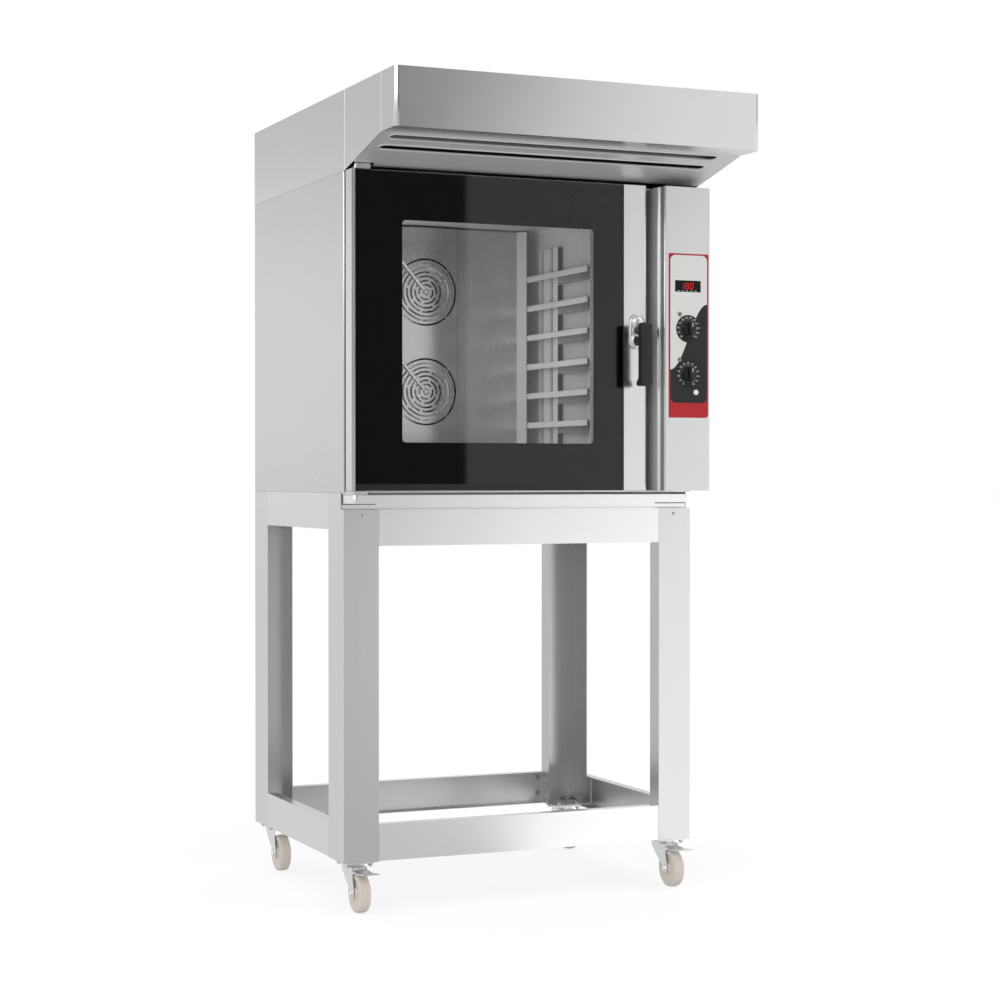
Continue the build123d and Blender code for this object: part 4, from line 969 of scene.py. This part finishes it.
def hood_slot_rims():
    """Rolled rims round the two slots in the hood's sloping underside."""
    bm = bmesh.new()
    across, rim = 8, 2.2
    half = SLOT_HALF_WIDTH
    for middle in SLOT_MIDDLES:
        rows = []
        outline = rounded_outline(SLOT_LEFT, SLOT_RIGHT, middle - half, middle + half, half - 0.5)
        centre = ((SLOT_LEFT + SLOT_RIGHT) / 2, middle)
        for x, y in outline:
            z = HOOD_SLOPE_LOW + HOOD_SLOPE * y - 0.6
            out = Vector((x - centre[0], y - centre[1]))
            if abs(out.x) < (SLOT_RIGHT - SLOT_LEFT) / 2 - half:
                out.x = 0
            out.normalize()
            row = []
            for k in range(across):
                b = 2 * math.pi * k / across
                reach = rim * math.cos(b)
                place = shift(x + out.x * reach, y + out.y * reach, z + rim * math.sin(b))
                row.append(bm.verts.new(place))
            rows.append(row)
        closed_tube(bm, rows)
    make_piece("hood_slot_rims", bm, ["hood_under"], "oven_on_stand", (), 60)


def text_faces(bm, words, x, z, y, size, look):
    """Numbers as flat faces, centred on a place, facing the viewer."""
    curve = bpy.data.curves.new("numbers", "FONT")
    curve.body = words
    curve.size = size / 1000
    curve.align_x = "CENTER"
    curve.align_y = "CENTER"
    carrier = bpy.data.objects.new("numbers", curve)
    mesh = bpy.data.meshes.new_from_object(carrier)
    mesh.transform(Matrix.Translation(shift(x, y, z)) @ Matrix.Rotation(math.pi / 2, 4, "X"))
    count = len(bm.faces)
    bm.from_mesh(mesh)
    bm.faces.ensure_lookup_table()
    for face in bm.faces[count:]:
        face.material_index = look
    bpy.data.objects.remove(carrier)
    bpy.data.curves.remove(curve)
    bpy.data.meshes.remove(mesh)


def circle_outline(x, z, radius, steps=48):
    angles = [2 * math.pi * i / steps for i in range(steps)]
    return [(x + radius * math.cos(a), z + radius * math.sin(a)) for a in angles]


def scale_print(bm, z, numbers, spread, white, dark):
    """Printed disc round a dial with its numbers and fine ticks."""
    face = OVERLAY_FACE
    film(bm, circle_outline(DIAL_X, z, 34.5), face - 0.2, dark)
    for i, words in enumerate(numbers):
        a = math.radians(90 + spread / 2 - spread * i / (len(numbers) - 1))
        text_faces(bm, words, DIAL_X + 28 * math.cos(a), z + 28 * math.sin(a), face - 0.3, 6.4, white)
    count = 2 * (len(numbers) - 1)
    for i in range(count + 1):
        a = math.radians(90 + spread / 2 - spread * i / count)
        ux, uz = math.cos(a), math.sin(a)
        corners = []
        for r, w in ((22.0, -0.35), (24.2, -0.35), (24.2, 0.35), (22.0, 0.35)):
            corners.append((DIAL_X + r * ux - w * uz, z + r * uz + w * ux))
        film(bm, corners, face - 0.3, white)


def overlay_print():
    """Printed fields of the control film: a red ground, a pale upper field and a dark lower one."""
    bm = bmesh.new()
    face = OVERLAY_FACE
    x0, x1 = OVERLAY_LEFT, OVERLAY_LEFT + 112
    z0, z1 = OVERLAY_BOTTOM, OVERLAY_BOTTOM + 411
    film(bm, rounded_outline(x0 + 4, x1 - 4, z0 + 37, z1 - 4, 14), face - 0.08, 0)
    curve = []
    for i in range(25):
        t = i / 24
        curve.append((x0 + 4 + 104 * t, z0 + 120 + 165 * (0.5 - 0.5 * math.cos(math.pi * t))))
    lower = rounded_outline(x0 + 4, x1 - 4, z0 + 37, z1, 14)[18:]
    film(bm, curve[::-1] + lower, face - 0.14, 1)
    scale_print(bm, DIALS["temperature_knob"], [str(n) for n in range(50, 290, 20)], 270, 2, 3)
    scale_print(bm, DIALS["timer_knob"], [str(n) for n in range(0, 130, 10)], 300, 2, 3)
    for z in DIALS.values():
        for radius, lift, look in ((6.2, 0.2, 3), (4.4, 0.26, 2), (3.2, 0.3, 3)):
            film(bm, circle_outline(DIAL_X - 24, z + 36, radius, 32), face - lift, look)
    looks = ["film_light", "film_dark", "film_white", "film_disc"]
    make_piece("control_film_print", bm, looks, "oven_on_stand")


SEGMENTS = {"0": "abcdef", "1": "bc", "8": "abcdefg"}


def display_digits():
    """Three lit digits of seven bars each, and a row of small marks below them."""
    bm = bmesh.new()
    face = OVERLAY_FACE - 0.55
    width, height, bar, inset = 9.5, 16, 2.2, 0.25
    bars = {
        "a": (0, height - bar, width, height),
        "b": (width - bar, height / 2, width, height),
        "c": (width - bar, 0, width, height / 2),
        "d": (0, 0, width, bar),
        "e": (0, 0, bar, height / 2),
        "f": (0, height / 2, bar, height),
        "g": (0, (height - bar) / 2, width, (height + bar) / 2),
    }
    for place, digit in enumerate("180"):
        x = OVERLAY_LEFT + 33 + place * 13
        z = OVERLAY_BOTTOM + 322
        for name in SEGMENTS[digit]:
            x0, z0, x1, z1 = bars[name]
            left, right = x + x0 + inset, x + x1 - inset
            low, high = z + z0 + inset, z + z1 - inset
            film(bm, box_outline(left, right, low, high), face, 0)
    for i in range(5):
        x = OVERLAY_LEFT + 24 + i * 12
        z = OVERLAY_BOTTOM + 317
        film(bm, box_outline(x, x + 6, z, z + 1.2), face, 1)
    make_piece("display_digits", bm, ["digits", "film_white"], "oven_on_stand")


def make_floor():
    """Pale floor, bright to the camera, that still takes the object's shadow."""
    bm = bmesh.new()
    bmesh.ops.create_grid(bm, x_segments=2, y_segments=2, size=300)
    mesh = bpy.data.meshes.new("floor")
    bm.to_mesh(mesh)
    bm.free()
    floor = link(bpy.data.objects.new("floor", mesh))
    s = Shader("floor_paint")
    speck = s.noise(2, 2)
    pale = s.node("ShaderNodeBsdfDiffuse", {"Color": s.shade(speck, (0.3, 0.3, 0.3), (0.31, 0.31, 0.31))})
    plain = s.node("ShaderNodeBsdfDiffuse", {"Color": (0.8, 0.8, 0.8, 1)})
    glow = s.light("Emission", FLOOR_GLOW)
    seen = s.node("ShaderNodeAddShader", {0: pale.outputs[0], 1: glow.outputs[0]})
    way = s.node("ShaderNodeSeparateXYZ", {0: s.coords.outputs["Object"]})
    side = s.math("ARCTAN2", way.outputs[0], s.minus(-0.15, way.outputs[1]))
    right = s.sweep(side, 16, 27, FLOOR_DIM, FLOOR_BRIGHT)
    right = s.times(right, s.sweep(side, 50, 100, 1.0, FLOOR_REAR))
    left = s.sweep(side, -60, -26, FLOOR_SIDE - FLOOR_DIM, 0.0)
    gleam = s.light("Emission", s.plus(right, left))
    path = s.node("ShaderNodeLightPath")
    shown = s.either(path.outputs["Is Camera Ray"], plain, seen)
    mix = s.either(path.outputs["Is Glossy Ray"], shown, gleam)
    floor.data.materials.append(s.finish(mix.outputs[0]))


def area_light(name, place, target, size, energy):
    data = bpy.data.lights.new(name, "AREA")
    data.shape = "RECTANGLE"
    data.size, data.size_y = size
    data.energy = energy
    obj = link(bpy.data.objects.new(name, data))
    obj.location = place
    direction = Vector(target) - Vector(place)
    obj.rotation_euler = direction.to_track_quat("-Z", "Y").to_euler()
    return obj


def make_world():
    """White studio; bright metal and glass see a dark field to the left of the camera."""
    world = bpy.data.worlds.new("studio")
    bpy.context.scene.world = world
    world.use_nodes = True
    n = Nodes(world.node_tree)
    way = n.node("ShaderNodeSeparateXYZ", {0: n.coords.outputs["Generated"]})
    side = n.math("ARCTAN2", way.outputs[0], n.times(way.outputs[1], -1.0))

    def sector(start, full, fading, end, strength):
        """Strength between two directions, with soft edges; angles in degrees towards the right."""
        rising = n.sweep(side, start, full)
        falling = n.sweep(side, fading, end, 1.0, 0.0)
        return n.times(n.times(rising, falling), strength)

    def lifted(low, high):
        """Grows from 0 to 1 between two heights in degrees."""
        return n.span(way.outputs[2], math.sin(math.radians(low)), math.sin(math.radians(high)))

    # The bright field on the right: a sharp edge low down, a soft one higher up, dimmer at the rear
    raised = lifted(7.9, 8.7)
    crisp = n.span(side, BAND_EDGE - 0.002, BAND_EDGE + 0.002)
    broad = n.sweep(side, 22.2, 27.4, 0.1, 1.09)
    near = n.times(n.times(crisp, 1.12), n.minus(1.0, raised))
    right = n.plus(near, n.times(broad, raised))
    fade = n.sweep(side, 50, 100, 1.0, WORLD_REAR)
    right = n.times(right, fade)

    # The bright field on the left: dimmer at the rear and higher up
    left = n.sweep(side, -26, -10, 1.0, 0.0)
    rear = n.sweep(side, -180, -165, WORLD_LEFT_REAR, 1.0)
    left = n.times(left, rear)
    left = n.times(left, n.minus(1.0, n.times(lifted(5.5, 9.0), 0.36)))

    # Light from above, a band along the horizon, and a brighter and a darker patch beside the object
    horizon = n.times(fade, n.minus(1.0, lifted(1.5, 7.0)))
    above = n.times(lifted(28, 50), WORLD_ABOVE)
    level = n.math("MAXIMUM", n.math("MAXIMUM", right, left), above)
    level = n.plus(level, n.times(n.times(crisp, horizon), 0.2))
    level = n.plus(level, n.times(sector(-125, -112, -40, -30, 1.5), lifted(7.0, 8.6)))
    level = n.minus(level, n.times(sector(46, 56, 74, 88, 0.6), raised))

    # The camera sees white, metal and glass see the fields, and everything else an even light
    even = n.light("Background", AMBIENT)
    fields = n.light("Background", n.ramp(level, DARK_BAND, 1.0))
    white = n.light("Background", 1.0)
    path = n.node("ShaderNodeLightPath")
    unseen = n.either(path.outputs["Is Glossy Ray"], even, fields)
    seen = n.either(path.outputs["Is Camera Ray"], unseen, white)
    out = n.node("ShaderNodeOutputWorld")
    n.tree.links.new(seen.outputs[0], out.inputs["Surface"])


def make_lights():
    """Two soft studio lamps, and two sheets of light that stand in for the lit inside of the oven."""
    area_light("key", (-4.5, -5.5, 4.5), (0, 0, 1.0), (3, 3), 60)
    area_light("fill", (3.0, -3.2, 5.6), (0, 0, 1.0), (3, 3), 30)
    middle = CAVITY_CENTRE
    into, across = shift(middle, 400, 1400), shift(700, 290, 1380)
    mouth = area_light("cavity_mouth_light", shift(middle, 12, 1400), into, (0.5, 0.5), CAVITY_FILL)
    wall = area_light("cavity_wall_light", shift(125, 290, 1380), across, (0.36, 0.52), CAVITY_SIDE)
    wall.visible_glossy = False
    for light in (mouth, wall):
        light.visible_camera = False


def make_camera():
    data = bpy.data.cameras.new("camera")
    camera = link(bpy.data.objects.new("camera", data))
    camera.location = CAMERA_PLACE
    forward = Vector((
        math.sin(CAMERA_YAW) * math.cos(CAMERA_PITCH),
        math.cos(CAMERA_YAW) * math.cos(CAMERA_PITCH),
        -math.sin(CAMERA_PITCH),
    ))
    camera.rotation_euler = forward.to_track_quat("-Z", "Y").to_euler()
    data.lens = CAMERA_LENS
    data.sensor_width = 36
    data.dof.use_dof = False
    bpy.context.scene.camera = camera


def set_look():
    bpy.context.scene.view_settings.view_transform = "Standard"


dress_nodes()
door_print()
fan_wall()
for level, height in FAN_HEIGHTS.items():
    fan_wheel(level, height)
water_pipes()
tray_rack("tray_rack_left", -1)
tray_rack("tray_rack_right", 1)
for corner, (x, y) in CASTORS.items():
    castor_wheel(corner, x, y)
castor_fasteners()
stand_fasteners()
handle_rose()
handle_lever()
for knob, height in DIALS.items():
    rotary_knob(knob, height)
light_button()
column_fold()
hood_inner_sheet()
hood_slot_rims()
overlay_print()
display_digits()
make_floor()
make_world()
make_lights()
make_camera()
set_look()
